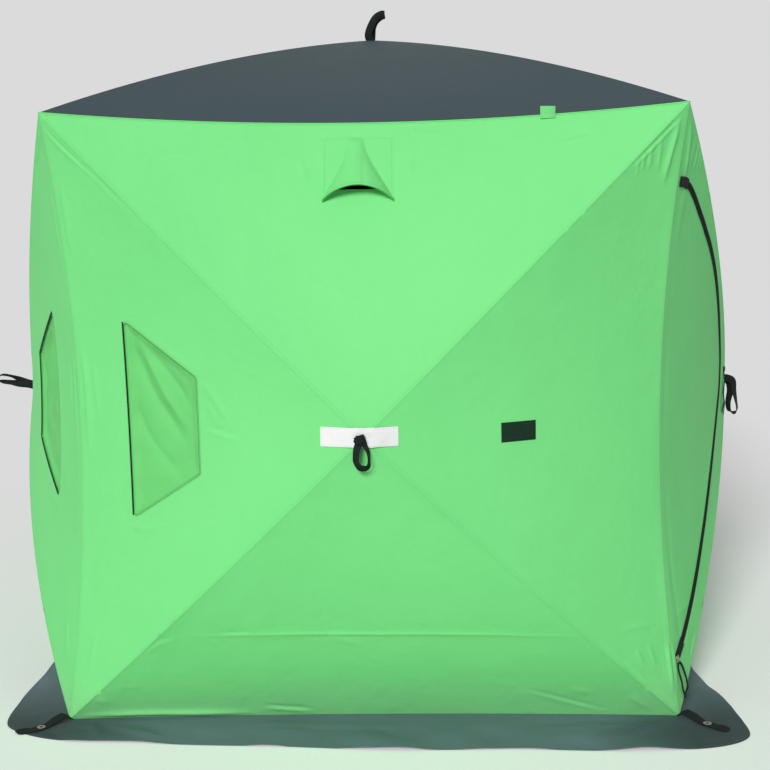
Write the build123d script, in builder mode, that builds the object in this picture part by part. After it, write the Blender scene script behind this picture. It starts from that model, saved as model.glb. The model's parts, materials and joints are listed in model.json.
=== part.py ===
from build123d import *
import os
from math import sqrt

# Pop-up hub shelter for ice fishing: four fabric walls and a fabric roof, each
# pushed out by four bowed rods that spring from a hub in its middle.
# Millimetres, +Z up, origin on the ground at the middle of the footprint.
# The front wall faces -Y and the door is in the right wall, near the front.

# Driving dimensions of the shell
corner_half = 900.0          # from the middle to a wall corner, along X and Y
eave_height = 1770.0         # ground to the upper corners
wall_bulge = 312.0           # wall hubs, out from the line between two corners
roof_rise = 268.0            # the roof hub, up from the upper corners
wall_hub_out = corner_half + wall_bulge
roof_hub_height = eave_height + roof_rise
wall_hub_height = {          # a little above or below half height
    "front": 0.509 * eave_height, "right": 0.494 * eave_height,
    "back": 0.509 * eave_height, "left": 0.494 * eave_height,
}
fabric = 3.0                 # thickness of the shell fabric with its coating
seam_gap = 0.3               # between two panels along a rod
hub_hole = 0.025             # share of a rod left open round its hub

# How far the rods bow out and the free seams pull in
roof_bow = 35.0
upper_bow = {"front": 25.0, "right": 30.0, "back": 25.0, "left": 21.0}
lower_bow = {"front": 45.0, "right": 33.0, "back": 45.0, "left": 57.0}
corner_seam_sag = 85.0       # along the diagonal, at mid height
eave_seam_in = 45.0          # the roof seam's middle, towards the centre
eave_seam_down = 42.0        # the roof seam's middle, down
hem_sag = 25.0               # the bottom hem's middle, towards the centre
sag_growth = 1.5             # how the sag grows from the hub to the seam

# Rods, hubs and corner fittings
rod_radius = 5.5
rod_inset = 14.0             # rod centre line behind the outer face, at the hub
fit_gap = 0.3                # between pieces that seat on each other
hub_plate_radius = 21.2      # fills the square hole in the fabric
hub_plate_depth = 4.0        # outer face of the plate behind the ridges' meeting point
hub_body_radius = 26.0
hub_body_depth = 13.0        # front of the body behind the same point
hub_body_length = 26.0
socket_radius = 9.0
socket_length = 62.0
socket_hold = 40.0           # rod length inside its socket
corner_inset = 38.0          # middle of a corner fitting to each face of the corner
fitting_radius = 26.0
fitting_height = 44.0
rod_end_gap = 14.0           # rod tip to the middle of its corner fitting

# Skirt on the ground round the walls
skirt_reach = 200.0
skirt_thickness = 3.0
skirt_lap = 20.0             # skirt under the hem, towards the centre
skirt_corner_radius = 110.0


def on_wall(along, up):
    """A place in a wall's plane, from its shares of the half width and the height."""
    return (along * corner_half, up * eave_height)


# Windows on a wall's left panel, as (along, up) in the wall's plane
window_corners = (
    on_wall(-0.756, 0.676), on_wall(-0.513, 0.590), on_wall(-0.510, 0.438), on_wall(-0.746, 0.355),
)
window_corner_radius = 12.0

# Door in the left panel of the right wall, as (along, up) in the wall's plane
hinge_along, hinge_top = on_wall(-0.878, 0.842)
hinge_bottom = 0.155 * eave_height
hinge_margin = 10.0          # doorway edge behind the hinge line
hinge_radius = 4.0
hinge_length = 45.0
zip_start = 6.0              # hinge line to the start of the zip
door_top = on_wall(-0.956, 0.868)        # where the zip would meet the corner seam
door_upper_middle = on_wall(-0.578, 0.745)
door_apex = on_wall(-0.247, 0.517)
door_lower_middle = on_wall(-0.533, 0.323)
door_bottom = on_wall(-0.956, 0.116)
door_apex_radius = 90.0
door_gap = 5.0
zip_tape = 8.0

# Vent near the top of the front and back walls
vent_along = -13.0
vent_width = 196.0
vent_top = eave_height - 82.0
vent_bottom = eave_height - 258.0
vent_rise = 52.0             # the hood's lower edge, out from the panel
vent_rest = 3.0              # the hood's top edge, out from the panel
vent_hole_width = 150.0
vent_hole_height = 62.0
vent_hole_bottom = vent_bottom + 20.0
vent_arch = 46.0             # the hood's lower edge, up in its middle
hood_fabric = 2.0

# Trim
strip_along = -12.0
strip_length = 206.0
strip_width = 52.0
strip_thickness = 1.5
patch_along, patch_up = on_wall(0.463, 0.502)
patch_length = 96.0
patch_width = 54.0
patch_thickness = 2.5
tab_along = 0.571 * corner_half
tab_width = 42.0
tab_length = 28.0
tab_thickness = 4.0
toggle_ends = (on_wall(-0.150, 0.520), on_wall(-0.205, 0.446))
toggle_width = 20.0
pull_middle = on_wall(-0.951, 0.082)
pull_length = 130.0
pull_width = 26.0
pull_band = 7.0
pull_tilt = 3.0
slider_length = 26.0
webbing = 2.5
webbing_width = 25.0
corner_strap_length = 165.0
corner_strap_width = 32.0
grommet_radius = 12.0
grommet_hole_radius = 5.5
grommet_height = 1.5
grommet_reach = 95.0         # wall corner to the grommet, along the diagonal

# Pull straps: a stem and a loop of webbing, as places from their hub
strap_radius = 4.0           # bends of the side and roof loops
front_strap_depth = 10.0
front_strap_radius = 9.0
front_stem = ((-14, 14), (10, 14), (10, -9), (-14, -9))              # (along, up)
front_loop = ((-28, -8), (18, -8), (22, -50), (-4, -88), (-34, -60))
side_stem = ((0, 6), (12, 6), (12, -6), (0, -6))                     # (out, up)
left_loop = ((6, 10), (118, 24), (132, 2), (120, -26), (6, -14))
right_loop = ((5, -6), (10, 8), (34, 0), (52, -100), (30, -112), (10, -60))
roof_stem = ((-10, 0), (6, 0), (6, 10), (-10, 10))                   # (along, up)
roof_loop = ((-14, 6), (-24, 30), (0, 80), (30, 97), (52, 92), (40, 70), (6, 30), (8, 6))

# A wall's own plane has X along the wall, to the right as seen from outside,
# Y up and Z outwards.
walls = {
    "front": Plane(origin=(0, 0, 0), x_dir=(1, 0, 0), z_dir=(0, -1, 0)),
    "right": Plane(origin=(0, 0, 0), x_dir=(0, 1, 0), z_dir=(1, 0, 0)),
    "back": Plane(origin=(0, 0, 0), x_dir=(-1, 0, 0), z_dir=(0, 1, 0)),
    "left": Plane(origin=(0, 0, 0), x_dir=(0, -1, 0), z_dir=(-1, 0, 0)),
}
# What the panels at a wall's left and right, seen from outside, are called
side_names = {
    "front": ("left", "right"),
    "right": ("front", "back"),
    "back": ("right", "left"),
    "left": ("back", "front"),
}
stations = (hub_hole, 0.2, 0.4, 0.6, 0.8, 1.0)
eave_sag = sqrt(eave_seam_in**2 + eave_seam_down**2)
reach = 2 * wall_hub_out     # longer than any cut through one wall


def place(wall, along, up, out):
    """A point given in a wall's own plane."""
    return walls[wall].from_local_coords(Vector(along, up, out))


def bowed(start, end, push):
    """An arc from start to end whose middle is moved by push."""
    return ThreePointArc(start, (start + end) / 2 + push, end)


def wall_ridge(wall, side, level):
    """The ridge over a wall's rod: side is -1 or 1, level is upper or lower."""
    height = eave_height if level == "upper" else skirt_thickness
    bow = (upper_bow if level == "upper" else lower_bow)[wall]
    hub = place(wall, 0, wall_hub_height[wall], wall_hub_out)
    corner = place(wall, side * corner_half, height, corner_half)
    return bowed(hub, corner, place(wall, 0, 0, bow))


def roof_ridge(wall, side):
    """The ridge from the roof hub to the upper corner at one side of a wall."""
    hub = Vector(0, 0, roof_hub_height)
    corner = place(wall, side * corner_half, eave_height, corner_half)
    return bowed(hub, corner, Vector(0, 0, roof_bow))


def skin(first, second, hub_pull, seam_pull, seam_sag, outer, inner):
    """A layer of fabric between two ridges, from their hub to the free seam.

    outer and inner are how deep its two faces lie behind the panel's outer face."""
    with BuildPart() as layer:
        for share in stations:
            start, end = first @ share, second @ share
            across = (end - start).normalized()
            pull = hub_pull * (1 - share) + seam_pull * share
            pull = (pull - across * pull.dot(across)).normalized()
            width = (end - start).length
            sag = seam_sag * share**sag_growth
            near, far = seam_gap / 2, width - seam_gap / 2
            slant = inner - outer
            with BuildSketch(Plane(start, x_dir=across, z_dir=across.cross(pull))):
                with BuildLine():
                    ThreePointArc((near, outer), (width / 2, sag + outer), (far, outer))
                    Line((far, outer), (far - slant, inner))
                    ThreePointArc(
                        (far - slant, inner), (width / 2, sag + inner), (near + slant, inner)
                    )
                    Line((near + slant, inner), (near, outer))
                make_face()
        loft()
    return layer.part


def wall_skin(wall, panel, outer=0.0, inner=fabric):
    """One of a wall's panels: top, bottom, left or right, as seen from outside."""
    ends = {
        "top": ((-1, "upper"), (1, "upper"), (0, -eave_seam_down, -eave_seam_in), eave_sag),
        "bottom": ((-1, "lower"), (1, "lower"), (0, 0, -1), hem_sag),
        "left": ((-1, "upper"), (-1, "lower"), (1, 0, -1), corner_seam_sag),
        "right": ((1, "upper"), (1, "lower"), (-1, 0, -1), corner_seam_sag),
    }
    first, second, pull, sag = ends[panel]
    return skin(
        wall_ridge(wall, *first), wall_ridge(wall, *second),
        place(wall, 0, 0, -1), place(wall, *pull).normalized(), sag, outer, inner,
    )


def roof_skin(wall):
    """The roof panel above one wall."""
    pull = place(wall, 0, -eave_seam_down, -eave_seam_in).normalized()
    return skin(
        roof_ridge(wall, -1), roof_ridge(wall, 1),
        Vector(0, 0, -1), pull, eave_sag, 0.0, fabric,
    )


def surface_out(wall, panels, along, up):
    """How far out the outer face of a wall's panels is at a place in its plane."""
    sight = Axis(place(wall, along, up, reach), place(wall, 0, 0, -1))
    hits = [hit[0] for panel in panels for hit in skins[wall, panel].find_intersection_points(sight)]
    return max(walls[wall].to_local_coords(point).Z for point in hits)


def window_sketch(wall, side, margin):
    """A window's outline in its wall's plane, grown by margin; side is -1 or 1."""
    with BuildSketch(walls[wall]) as outline:
        with BuildLine():
            Polyline(*[(-side * x, y) for x, y in window_corners], close=True)
        make_face()
        fillet(outline.vertices(), window_corner_radius)
        offset(amount=margin)
    return outline.sketch


def door_sketch(margin, behind):
    """The door's outline in the right wall's plane.

    margin grows the zipped edges; behind is how far it runs past the hinge line.
    Two tabs of the wall reach in to the ends of the hinge pins."""
    room = max(margin, 0)
    with BuildSketch(walls["right"]) as outline:
        with BuildLine():
            ThreePointArc(door_top, door_upper_middle, door_apex)
            ThreePointArc(door_apex, door_lower_middle, door_bottom)
            Line(door_bottom, door_top)
        make_face()
        fillet(outline.vertices().sort_by(Axis.X)[-1:], door_apex_radius)
        offset(amount=margin)
        with Locations((hinge_along - behind, hinge_bottom - room)):
            Rectangle(
                corner_half, hinge_top - hinge_bottom + 2 * room,
                align=(Align.MIN, Align.MIN), mode=Mode.INTERSECT,
            )
        for seat, edge in ((hinge_top + fit_gap, Align.MIN), (hinge_bottom - fit_gap, Align.MAX)):
            with Locations((hinge_along, seat)):
                Rectangle(2 * hinge_radius, hinge_length, align=(Align.CENTER, edge),
                          mode=Mode.SUBTRACT)
    return outline.sketch


def save(name, piece):
    """Label a finished piece and write its file."""
    piece.label = name
    export_step(piece, f"parts/{name}.step")


os.makedirs("parts", exist_ok=True)

# Wall panels, with the windows and the doorway cut through them
windows = {("front", "left"): -1, ("left", "right"): 1,
           ("back", "left"): -1, ("right", "right"): 1}
skins = {}
all_panels = ("top", "bottom", "left", "right")
for wall in walls:
    for panel in all_panels:
        skins[wall, panel] = wall_skin(wall, panel)
        called = dict(zip(("left", "right"), side_names[wall])).get(panel, panel)
        with BuildPart() as cloth:
            add(skins[wall, panel])
            if (wall, panel) in windows:
                extrude(window_sketch(wall, windows[wall, panel], fit_gap), reach,
                        mode=Mode.SUBTRACT)
            if (wall, panel) == ("right", "left"):
                extrude(door_sketch(door_gap, hinge_margin), reach, mode=Mode.SUBTRACT)
                extrude(door_sketch(door_gap + zip_tape, -zip_start), reach,
                        mode=Mode.SUBTRACT)
            if panel == "top" and wall in ("front", "back"):
                with BuildSketch(walls[wall]):
                    with Locations((vent_along, vent_hole_bottom)):
                        Rectangle(vent_hole_width, vent_hole_height,
                                  align=(Align.CENTER, Align.MIN))
                extrude(amount=reach, mode=Mode.SUBTRACT)
        save(f"{wall}_wall_{called}_panel", cloth.part)

for wall, panel in windows:
    with BuildPart() as pane:
        add(skins[wall, panel])
        extrude(window_sketch(wall, windows[wall, panel], 0), reach, mode=Mode.INTERSECT)
    save(f"{wall}_wall_window", pane.part)

for wall in walls:
    save(f"roof_{wall}_panel", roof_skin(wall))

# Door flap, its hinge pins and the two halves of its zip
door_skin = skins["right", "left"]
hinge_ends = [
    place("right", hinge_along, up,
          surface_out("right", ("left",), hinge_along, up) - fabric / 2)
    for up in (hinge_bottom, hinge_top)
]
hinge_axis = (hinge_ends[1] - hinge_ends[0]).normalized()
print("The door turns on the line from", hinge_ends[0], "to", hinge_ends[1])

with BuildPart() as door_panel:
    add(door_skin)
    extrude(door_sketch(-zip_tape, 0), reach, mode=Mode.INTERSECT)
    for end, way in ((hinge_ends[0], hinge_axis), (hinge_ends[1], -hinge_axis)):
        with BuildSketch(Plane(end, z_dir=way)):
            Circle(hinge_radius)
        extrude(amount=hinge_length)
save("door_panel", door_panel.part)

with BuildPart() as door_zip:
    add(door_skin)
    extrude(door_sketch(0, -zip_start), reach, mode=Mode.INTERSECT)
    extrude(door_sketch(-zip_tape, 0), reach, mode=Mode.SUBTRACT)
save("door_zip_tape", door_zip.part)

with BuildPart() as doorway_zip:
    add(door_skin)
    extrude(door_sketch(door_gap + zip_tape, -zip_start), reach, mode=Mode.INTERSECT)
    extrude(door_sketch(door_gap, hinge_margin), reach, mode=Mode.SUBTRACT)
save("doorway_zip_tape", doorway_zip.part)

# Hubs: a plate that fills the hole in the fabric, a body and four sockets
def hub_pieces(hub, out, fittings, bows):
    """A hub's body with its sockets, and the four rods that spring from it."""
    base = hub - out * rod_inset
    lines = [bowed(base, fitting, out * bow) for fitting, bow in zip(fittings, bows)]
    with BuildPart() as body:
        with BuildSketch(Plane(hub - out * (hub_body_depth + hub_body_length), z_dir=out)):
            Circle(hub_body_radius)
        extrude(amount=hub_body_length)
        with BuildSketch(Plane(hub - out * hub_body_depth, z_dir=out)):
            Circle(hub_plate_radius)
        extrude(amount=hub_body_depth - hub_plate_depth)
        for line in lines:
            way = (line @ hub_hole - base).normalized()
            with BuildSketch(Plane(base, z_dir=way)):
                Circle(socket_radius)
            extrude(amount=socket_length)
        for line in lines:
            way = (line @ hub_hole - base).normalized()
            bore_start = base + way * (socket_length - socket_hold - fit_gap)
            with BuildSketch(Plane(bore_start, z_dir=way)):
                Circle(rod_radius + 2 * fit_gap)
            extrude(amount=socket_length, mode=Mode.SUBTRACT)
    rods = []
    for line in lines:
        first = (socket_length - socket_hold) / line.length
        last = 1 - rod_end_gap / line.length
        with BuildPart() as rod:
            with BuildLine() as path:
                ThreePointArc(line @ first, line @ ((first + last) / 2), line @ last)
            with BuildSketch(Plane(path.line @ 0, z_dir=path.line % 0)):
                Circle(rod_radius)
            sweep()
        rods.append(rod.part)
    return body.part, rods


def fitting_centre(side, wall, level):
    """The middle of the corner fitting at one end of a wall."""
    up = eave_height - corner_inset if level == "upper" else skirt_thickness + corner_inset
    return place(wall, side * (corner_half - corner_inset), up, corner_half - corner_inset)


all_rods = []
for wall in walls:
    ends = ((-1, "upper"), (1, "upper"), (1, "lower"), (-1, "lower"))
    bows = [(upper_bow if level == "upper" else lower_bow)[wall] for side, level in ends]
    body, rods = hub_pieces(
        place(wall, 0, wall_hub_height[wall], wall_hub_out), place(wall, 0, 0, 1),
        [fitting_centre(side, wall, level) for side, level in ends], bows,
    )
    save(f"{wall}_wall_hub", body)
    with BuildPart() as rod_set:
        add(rods)
    save(f"{wall}_wall_rods", rod_set.part)
    all_rods += rods

roof_ends = [fitting_centre(1, wall, "upper") for wall in walls]
body, rods = hub_pieces(Vector(0, 0, roof_hub_height), Vector(0, 0, 1),
                        roof_ends, [roof_bow] * len(roof_ends))
save("roof_hub", body)
with BuildPart() as rod_set:
    add(rods)
save("roof_rods", rod_set.part)
all_rods += rods

# Corner fittings that take the rod tips
for level in ("upper", "lower"):
    with BuildPart() as fittings:
        for wall in walls:
            centre = fitting_centre(1, wall, level)
            with Locations(centre):
                Cylinder(fitting_radius, fitting_height)
        add(all_rods, mode=Mode.SUBTRACT)
    save(f"{level}_corner_fittings", fittings.part)

# Skirt flaps, mitred at the corners
skirt_half = corner_half + skirt_reach
grommet_half = corner_half + (grommet_reach + fit_gap) / sqrt(2)
for wall in walls:
    with BuildPart() as flap:
        with BuildSketch():
            RectangleRounded(2 * skirt_half, 2 * skirt_half, skirt_corner_radius)
            inner = 2 * (corner_half - hem_sag - skirt_lap)
            Rectangle(inner, inner, mode=Mode.SUBTRACT)
            with GridLocations(2 * grommet_half, 2 * grommet_half, 2, 2):
                Circle(grommet_hole_radius, mode=Mode.SUBTRACT)
            with BuildLine():
                far = 2 * skirt_half
                Polyline(
                    place(wall, 0, 0, seam_gap), place(wall, far, 0, far + seam_gap),
                    place(wall, -far, 0, far + seam_gap), close=True,
                )
            make_face(mode=Mode.INTERSECT)
        extrude(amount=skirt_thickness)
    save(f"skirt_{wall}_flap", flap.part)

# Vent hoods: open below, sewn to the wall at the top and the sides
for wall in ("front", "back"):
    half = vent_width / 2
    with BuildPart() as hood:
        for share in (0, 0.5, 1):
            up = vent_bottom + share * (vent_top - vent_bottom)
            rise = vent_rise + share**2 * (vent_rest - vent_rise)
            out = max(surface_out(wall, ("top",), vent_along + side * half, up)
                      for side in (-1, 1))
            level = Plane(place(wall, vent_along, up, out + 2 * fit_gap),
                          x_dir=place(wall, 1, 0, 0), z_dir=place(wall, 0, 1, 0))
            with BuildSketch(level):
                with BuildLine():
                    ThreePointArc((-half, 0), (0, -rise - hood_fabric), (half, 0))
                    Line((half, 0), (half - 2 * hood_fabric, 0))
                    ThreePointArc((half - 2 * hood_fabric, 0), (0, -rise),
                                  (2 * hood_fabric - half, 0))
                    Line((2 * hood_fabric - half, 0), (-half, 0))
                make_face()
        loft()
        with BuildSketch(walls[wall]):
            with Locations((vent_along, vent_bottom)):
                with BuildLine():
                    ThreePointArc((-half, 0), (0, vent_arch), (half, 0))
                    Polyline((half, 0), (half, -vent_rise), (-half, -vent_rise), (-half, 0))
                make_face()
        extrude(amount=reach, mode=Mode.SUBTRACT)
    save(f"{wall}_vent_hood", hood.part)

# Trim on the front: strips over the front and back hubs, patch and roof tab
for wall in ("front", "back"):
    up = wall_hub_height[wall]
    plate = hub_plate_radius + fit_gap
    rest = [(along, wall_hub_out - hub_plate_depth + fit_gap) for along in (-plate, plate)]
    for end in (strip_along - strip_length / 2, strip_along + strip_length / 2):
        edge = plate if end > 0 else -plate
        for share in (0.25, 0.6, 1.0):
            along = edge + share * (end - edge)
            out = max(surface_out(wall, all_panels, along, up + side * strip_width / 2)
                      for side in (-1, 0, 1))
            rest.append((along, out + 3 * fit_gap))
    rest.sort()
    with BuildPart() as strip:
        with BuildSketch(Plane(place(wall, 0, up, 0), x_dir=place(wall, 1, 0, 0),
                               z_dir=place(wall, 0, 1, 0))):
            with BuildLine():
                Polyline(
                    *[(along, -out) for along, out in rest],
                    *[(along, -out - strip_thickness) for along, out in reversed(rest)],
                    close=True,
                )
            make_face()
        extrude(amount=strip_width / 2, both=True)
    save(f"{wall}_reflective_strip", strip.part)

with BuildPart() as patch:
    add(wall_skin("front", "right", -fit_gap - patch_thickness, -fit_gap))
    with BuildSketch(walls["front"]):
        with Locations((patch_along, patch_up)):
            Rectangle(patch_length, patch_width)
    extrude(amount=reach, mode=Mode.INTERSECT)
save("front_hook_patch", patch.part)

# Webbing on the right wall: the strap that ties the rolled door, and the zip's pull
with BuildPart() as toggle:
    add(wall_skin("right", "left", -fit_gap - webbing, -fit_gap))
    with BuildSketch(walls["right"]):
        with BuildLine() as route:
            Line(*toggle_ends)
        trace(route.line, toggle_width)
    extrude(amount=reach, mode=Mode.INTERSECT)
save("door_tie_strap", toggle.part)

with BuildPart() as pull:
    add(wall_skin("right", "left", -fit_gap - webbing, -fit_gap))
    with BuildSketch(walls["right"]):
        with Locations(pull_middle):
            SlotOverall(pull_length, pull_width, rotation=90 + pull_tilt)
            SlotOverall(pull_length - 2 * pull_band, pull_width - 2 * pull_band,
                        rotation=90 + pull_tilt, mode=Mode.SUBTRACT)
            with Locations((0, (pull_length - slider_length) / 2)):
                Rectangle(pull_width - pull_band, slider_length)
    extrude(amount=reach, mode=Mode.INTERSECT)
save("door_zip_pull", pull.part)

with BuildPart() as tab:
    add(wall_skin("front", "top", -fit_gap - tab_thickness, -fit_gap))
    with BuildSketch(walls["front"]):
        with Locations((tab_along, eave_height - tab_length)):
            Rectangle(tab_width, 2 * tab_length)
    extrude(amount=reach, mode=Mode.INTERSECT)
save("roof_edge_tab", tab.part)

# Corner straps on the skirt, each with a grommet
with BuildPart() as corner_straps:
    for wall in walls:
        along = place(wall, 1, 0, 1).normalized()
        start = place(wall, corner_half, skirt_thickness, corner_half) + along * fit_gap
        with BuildSketch(Plane(start, x_dir=along, z_dir=(0, 0, 1))):
            Rectangle(corner_strap_length, corner_strap_width, align=(Align.MIN, Align.CENTER))
            with Locations((grommet_reach, 0)):
                Circle(grommet_hole_radius, mode=Mode.SUBTRACT)
    extrude(amount=webbing)
save("corner_tie_straps", corner_straps.part)

with BuildPart() as grommets:
    for wall in walls:
        along = place(wall, 1, 0, 1).normalized()
        start = (place(wall, corner_half, skirt_thickness + webbing, corner_half)
                 + along * (fit_gap + grommet_reach))
        with BuildSketch(Plane(start, x_dir=along, z_dir=(0, 0, 1))):
            Circle(grommet_radius)
            Circle(grommet_hole_radius, mode=Mode.SUBTRACT)
    extrude(amount=grommet_height)
save("skirt_grommets", grommets.part)


# Pull straps: a band of webbing from a hub that turns back on itself as a loop
def strap(frame, stem, loop, corner_radii, width):
    """A webbing stem with a loop at its end, drawn in frame's plane."""
    with BuildPart() as band:
        with BuildSketch(frame):
            with BuildLine():
                FilletPolyline(*loop, radius=corner_radii, close=True)
            make_face()
            offset(amount=-webbing, mode=Mode.SUBTRACT)
            with BuildLine():
                Polyline(*stem, close=True)
            make_face()
        extrude(amount=width / 2, both=True)
    return band.part


plate_out = wall_hub_out - hub_plate_depth + fit_gap
strip_face = plate_out + strip_thickness + fit_gap
for wall in ("front", "back"):
    frame = Plane(place(wall, 0, wall_hub_height[wall], strip_face + front_strap_depth / 2),
                  x_dir=place(wall, 1, 0, 0), z_dir=place(wall, 0, 0, 1))
    save(f"{wall}_pull_strap",
         strap(frame, front_stem, front_loop, front_strap_radius, front_strap_depth))

for wall, loop in (("left", left_loop), ("right", right_loop)):
    frame = Plane(place(wall, 0, wall_hub_height[wall], plate_out),
                  x_dir=place(wall, 0, 0, 1), z_dir=place(wall, -1, 0, 0))
    save(f"{wall}_pull_strap", strap(frame, side_stem, loop, strap_radius, webbing_width))

roof_frame = Plane(Vector(0, 0, roof_hub_height - hub_plate_depth + fit_gap),
                   x_dir=(1, 0, 0), z_dir=(0, -1, 0))
save("roof_pull_strap", strap(roof_frame, roof_stem, roof_loop, strap_radius, webbing_width))
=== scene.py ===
"""The looks of a pop-up fabric shelter for ice fishing, dressed over its CAD frame.

Metres, +Z up. The front wall faces -Y, and the door is in the right wall."""
import json
from functools import lru_cache
from math import cos, pi, radians, sin, sqrt, tau

import bpy
import numpy as np
from mathutils import Matrix, Vector, noise
from mathutils.geometry import delaunay_2d_cdt


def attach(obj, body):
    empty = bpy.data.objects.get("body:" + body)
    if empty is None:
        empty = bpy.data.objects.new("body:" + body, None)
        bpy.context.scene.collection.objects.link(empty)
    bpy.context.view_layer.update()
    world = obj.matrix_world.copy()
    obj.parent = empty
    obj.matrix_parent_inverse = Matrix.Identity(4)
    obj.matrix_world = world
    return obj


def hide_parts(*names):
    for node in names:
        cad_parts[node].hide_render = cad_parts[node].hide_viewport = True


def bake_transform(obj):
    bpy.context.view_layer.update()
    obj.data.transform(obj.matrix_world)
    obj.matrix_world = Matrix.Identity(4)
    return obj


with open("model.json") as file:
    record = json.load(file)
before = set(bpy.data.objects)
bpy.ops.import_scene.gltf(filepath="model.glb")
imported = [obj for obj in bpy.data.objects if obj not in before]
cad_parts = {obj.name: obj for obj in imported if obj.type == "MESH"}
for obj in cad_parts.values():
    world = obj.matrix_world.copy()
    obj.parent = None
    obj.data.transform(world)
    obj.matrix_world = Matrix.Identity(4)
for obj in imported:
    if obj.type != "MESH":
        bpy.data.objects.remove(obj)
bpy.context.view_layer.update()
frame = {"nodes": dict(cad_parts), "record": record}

# Sizes of the shell, as in the CAD
CORNER_HALF = 0.900          # from the middle to a wall corner, along X and Y
EAVE_HEIGHT = 1.770
WALL_HUB_OUT = CORNER_HALF + 0.312
WALL_HUB_HEIGHT = {"front": 0.509 * EAVE_HEIGHT, "right": 0.494 * EAVE_HEIGHT,
                   "back": 0.509 * EAVE_HEIGHT, "left": 0.494 * EAVE_HEIGHT}
ROOF_HUB_HEIGHT = EAVE_HEIGHT + 0.268
ROOF_BOW = 0.035
UPPER_BOW = {"front": 0.025, "right": 0.030, "back": 0.025, "left": 0.021}
LOWER_BOW = {"front": 0.045, "right": 0.033, "back": 0.045, "left": 0.057}
CORNER_SEAM_SAG = 0.085
EAVE_SEAM_IN = 0.045
EAVE_SEAM_DOWN = 0.042
HEM_SAG = 0.025
HEM_HEIGHT = 0.003
HUB_OPENING = 0.018          # share of a rod left open round its hub
PLATE_DEPTH = 0.0037         # a hub's plate behind the meeting point of the ridges
SAG_GROWTH = 1.5
EAVE_SAG = sqrt(EAVE_SEAM_IN**2 + EAVE_SEAM_DOWN**2)


def on_wall(along, up):
    """A place in a wall's plane, from its shares of the half width and the height."""
    return along * CORNER_HALF, up * EAVE_HEIGHT


# Cloth
CLOTH = 0.0012               # thickness of the shell fabric
FINE, COARSE = 0.013, 0.018  # spacing of the points in a panel that the photo shows, and in others
CREASED = 0.0045             # spacing beside a fold
SEEN_WALLS = ("front", "left", "right")

# Windows on a wall's left panel, as (along, up) in the wall's plane
WINDOW = np.array((on_wall(-0.756, 0.676), on_wall(-0.513, 0.590), on_wall(-0.510, 0.438),
                   on_wall(-0.746, 0.355)))
WINDOW_RADIUS = 0.012
WINDOW_PANELS = (("front", "left"), ("back", "left"), ("left", "right"), ("right", "right"))
PANE_STEP, PANE_DEPTH, PANE_WAVES = 0.003, 0.009, 0.004      # behind the wall: edge, middle, waves
PANE_EDGE_DEPTH, PANE_EDGE = 0.0095, (0.0012, 0.0100)        # cloth that joins a pane to the wall
# Dark tape along some edges of each window: painted shadow at the pane's edge, wider on the side
# walls for their shade
SHADOW_TAPE_WIDTH = {"front": 0.005, "back": 0.005, "left": 0.009, "right": 0.009}
SHADOW_TAPE, SHADOW_TAPE_LIFT = 0.0016, 0.0004

# Door in the front half of the right wall
HINGE_ALONG = -0.878 * CORNER_HALF
DOOR_FOLD = 0.012            # half the width of the strip that bends at the hinge
DOOR_EDGE = HINGE_ALONG - 0.025          # where the door's cloth leaves the wall's
DOOR_TOP, DOOR_UPPER_MIDDLE = on_wall(-0.956, 0.868), on_wall(-0.578, 0.745)
DOOR_APEX, DOOR_LOWER_MIDDLE = on_wall(-0.247, 0.517), on_wall(-0.533, 0.323)
DOOR_BOTTOM = on_wall(-0.956, 0.116)
DOOR_BEND = 0.0855           # from the zip's foremost point to where it starts to bend
DOOR_CLEARANCE = 0.006       # between the door's cloth and the zip's line
ZIP_GAP = 0.005
ZIP_TAPE, ZIP_TAPE_DEPTH, ZIP_TAPE_LIFT = 0.0075, 0.0018, 0.0006
ZIP_COIL, ZIP_COIL_OFF, ZIP_COIL_LIFT = 0.0013, 0.00135, 0.0016
ZIP_ROWS, ZIP_ROW_LIFT = (0.0025, ZIP_TAPE - 0.0022), 0.0024  # stitching on a tape
ZIP_STOP_WIDTH, ZIP_STOP_DEPTH, ZIP_STOP_LIFT = 0.030, 0.0028, 0.0008
# How far the zip's line leaves its upper and lower arcs near its ends, as (along, rise)
ZIP_TOP_RISE = ((-0.860, 0.014), (-0.830, 0.026), (-0.795, 0.028), (-0.755, 0.021),
                (-0.700, 0.009), (-0.620, 0.0))
ZIP_BOTTOM_RISE = ((-0.860, -0.042), (-0.800, -0.042), (-0.700, -0.033), (-0.580, -0.016),
                   (-0.450, -0.004), (-0.360, 0.0))
ZIP_STOP_END = HINGE_ALONG - DOOR_FOLD - 0.004

# Vent in the front and back walls
VENT_ALONG = -0.013
VENT_WIDTH = 0.196
VENT_TOP = EAVE_HEIGHT - 0.082
VENT_BOTTOM = EAVE_HEIGHT - 0.258
VENT_RISE = 0.052
VENT_ARCH = 0.046
VENT_HOLE = (0.150, 0.050)
VENT_HOLE_UP = {"front": 0.034, "back": 0.060}
VENT_NECK, VENT_LEAN = 0.24, 0.10        # the pleat's top: half its width, and off the middle
VENT_SWELL = (0.16, 0.84)    # share of the rise taken at once under the top, and further down
VENT_CREASE, VENT_CREASE_ACROSS = 0.003, (0.16, 0.06)
VENT_CLOTH = 0.0014
VENT_HEM, VENT_HEM_UP = (0.009, 0.0012), 0.004

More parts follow.
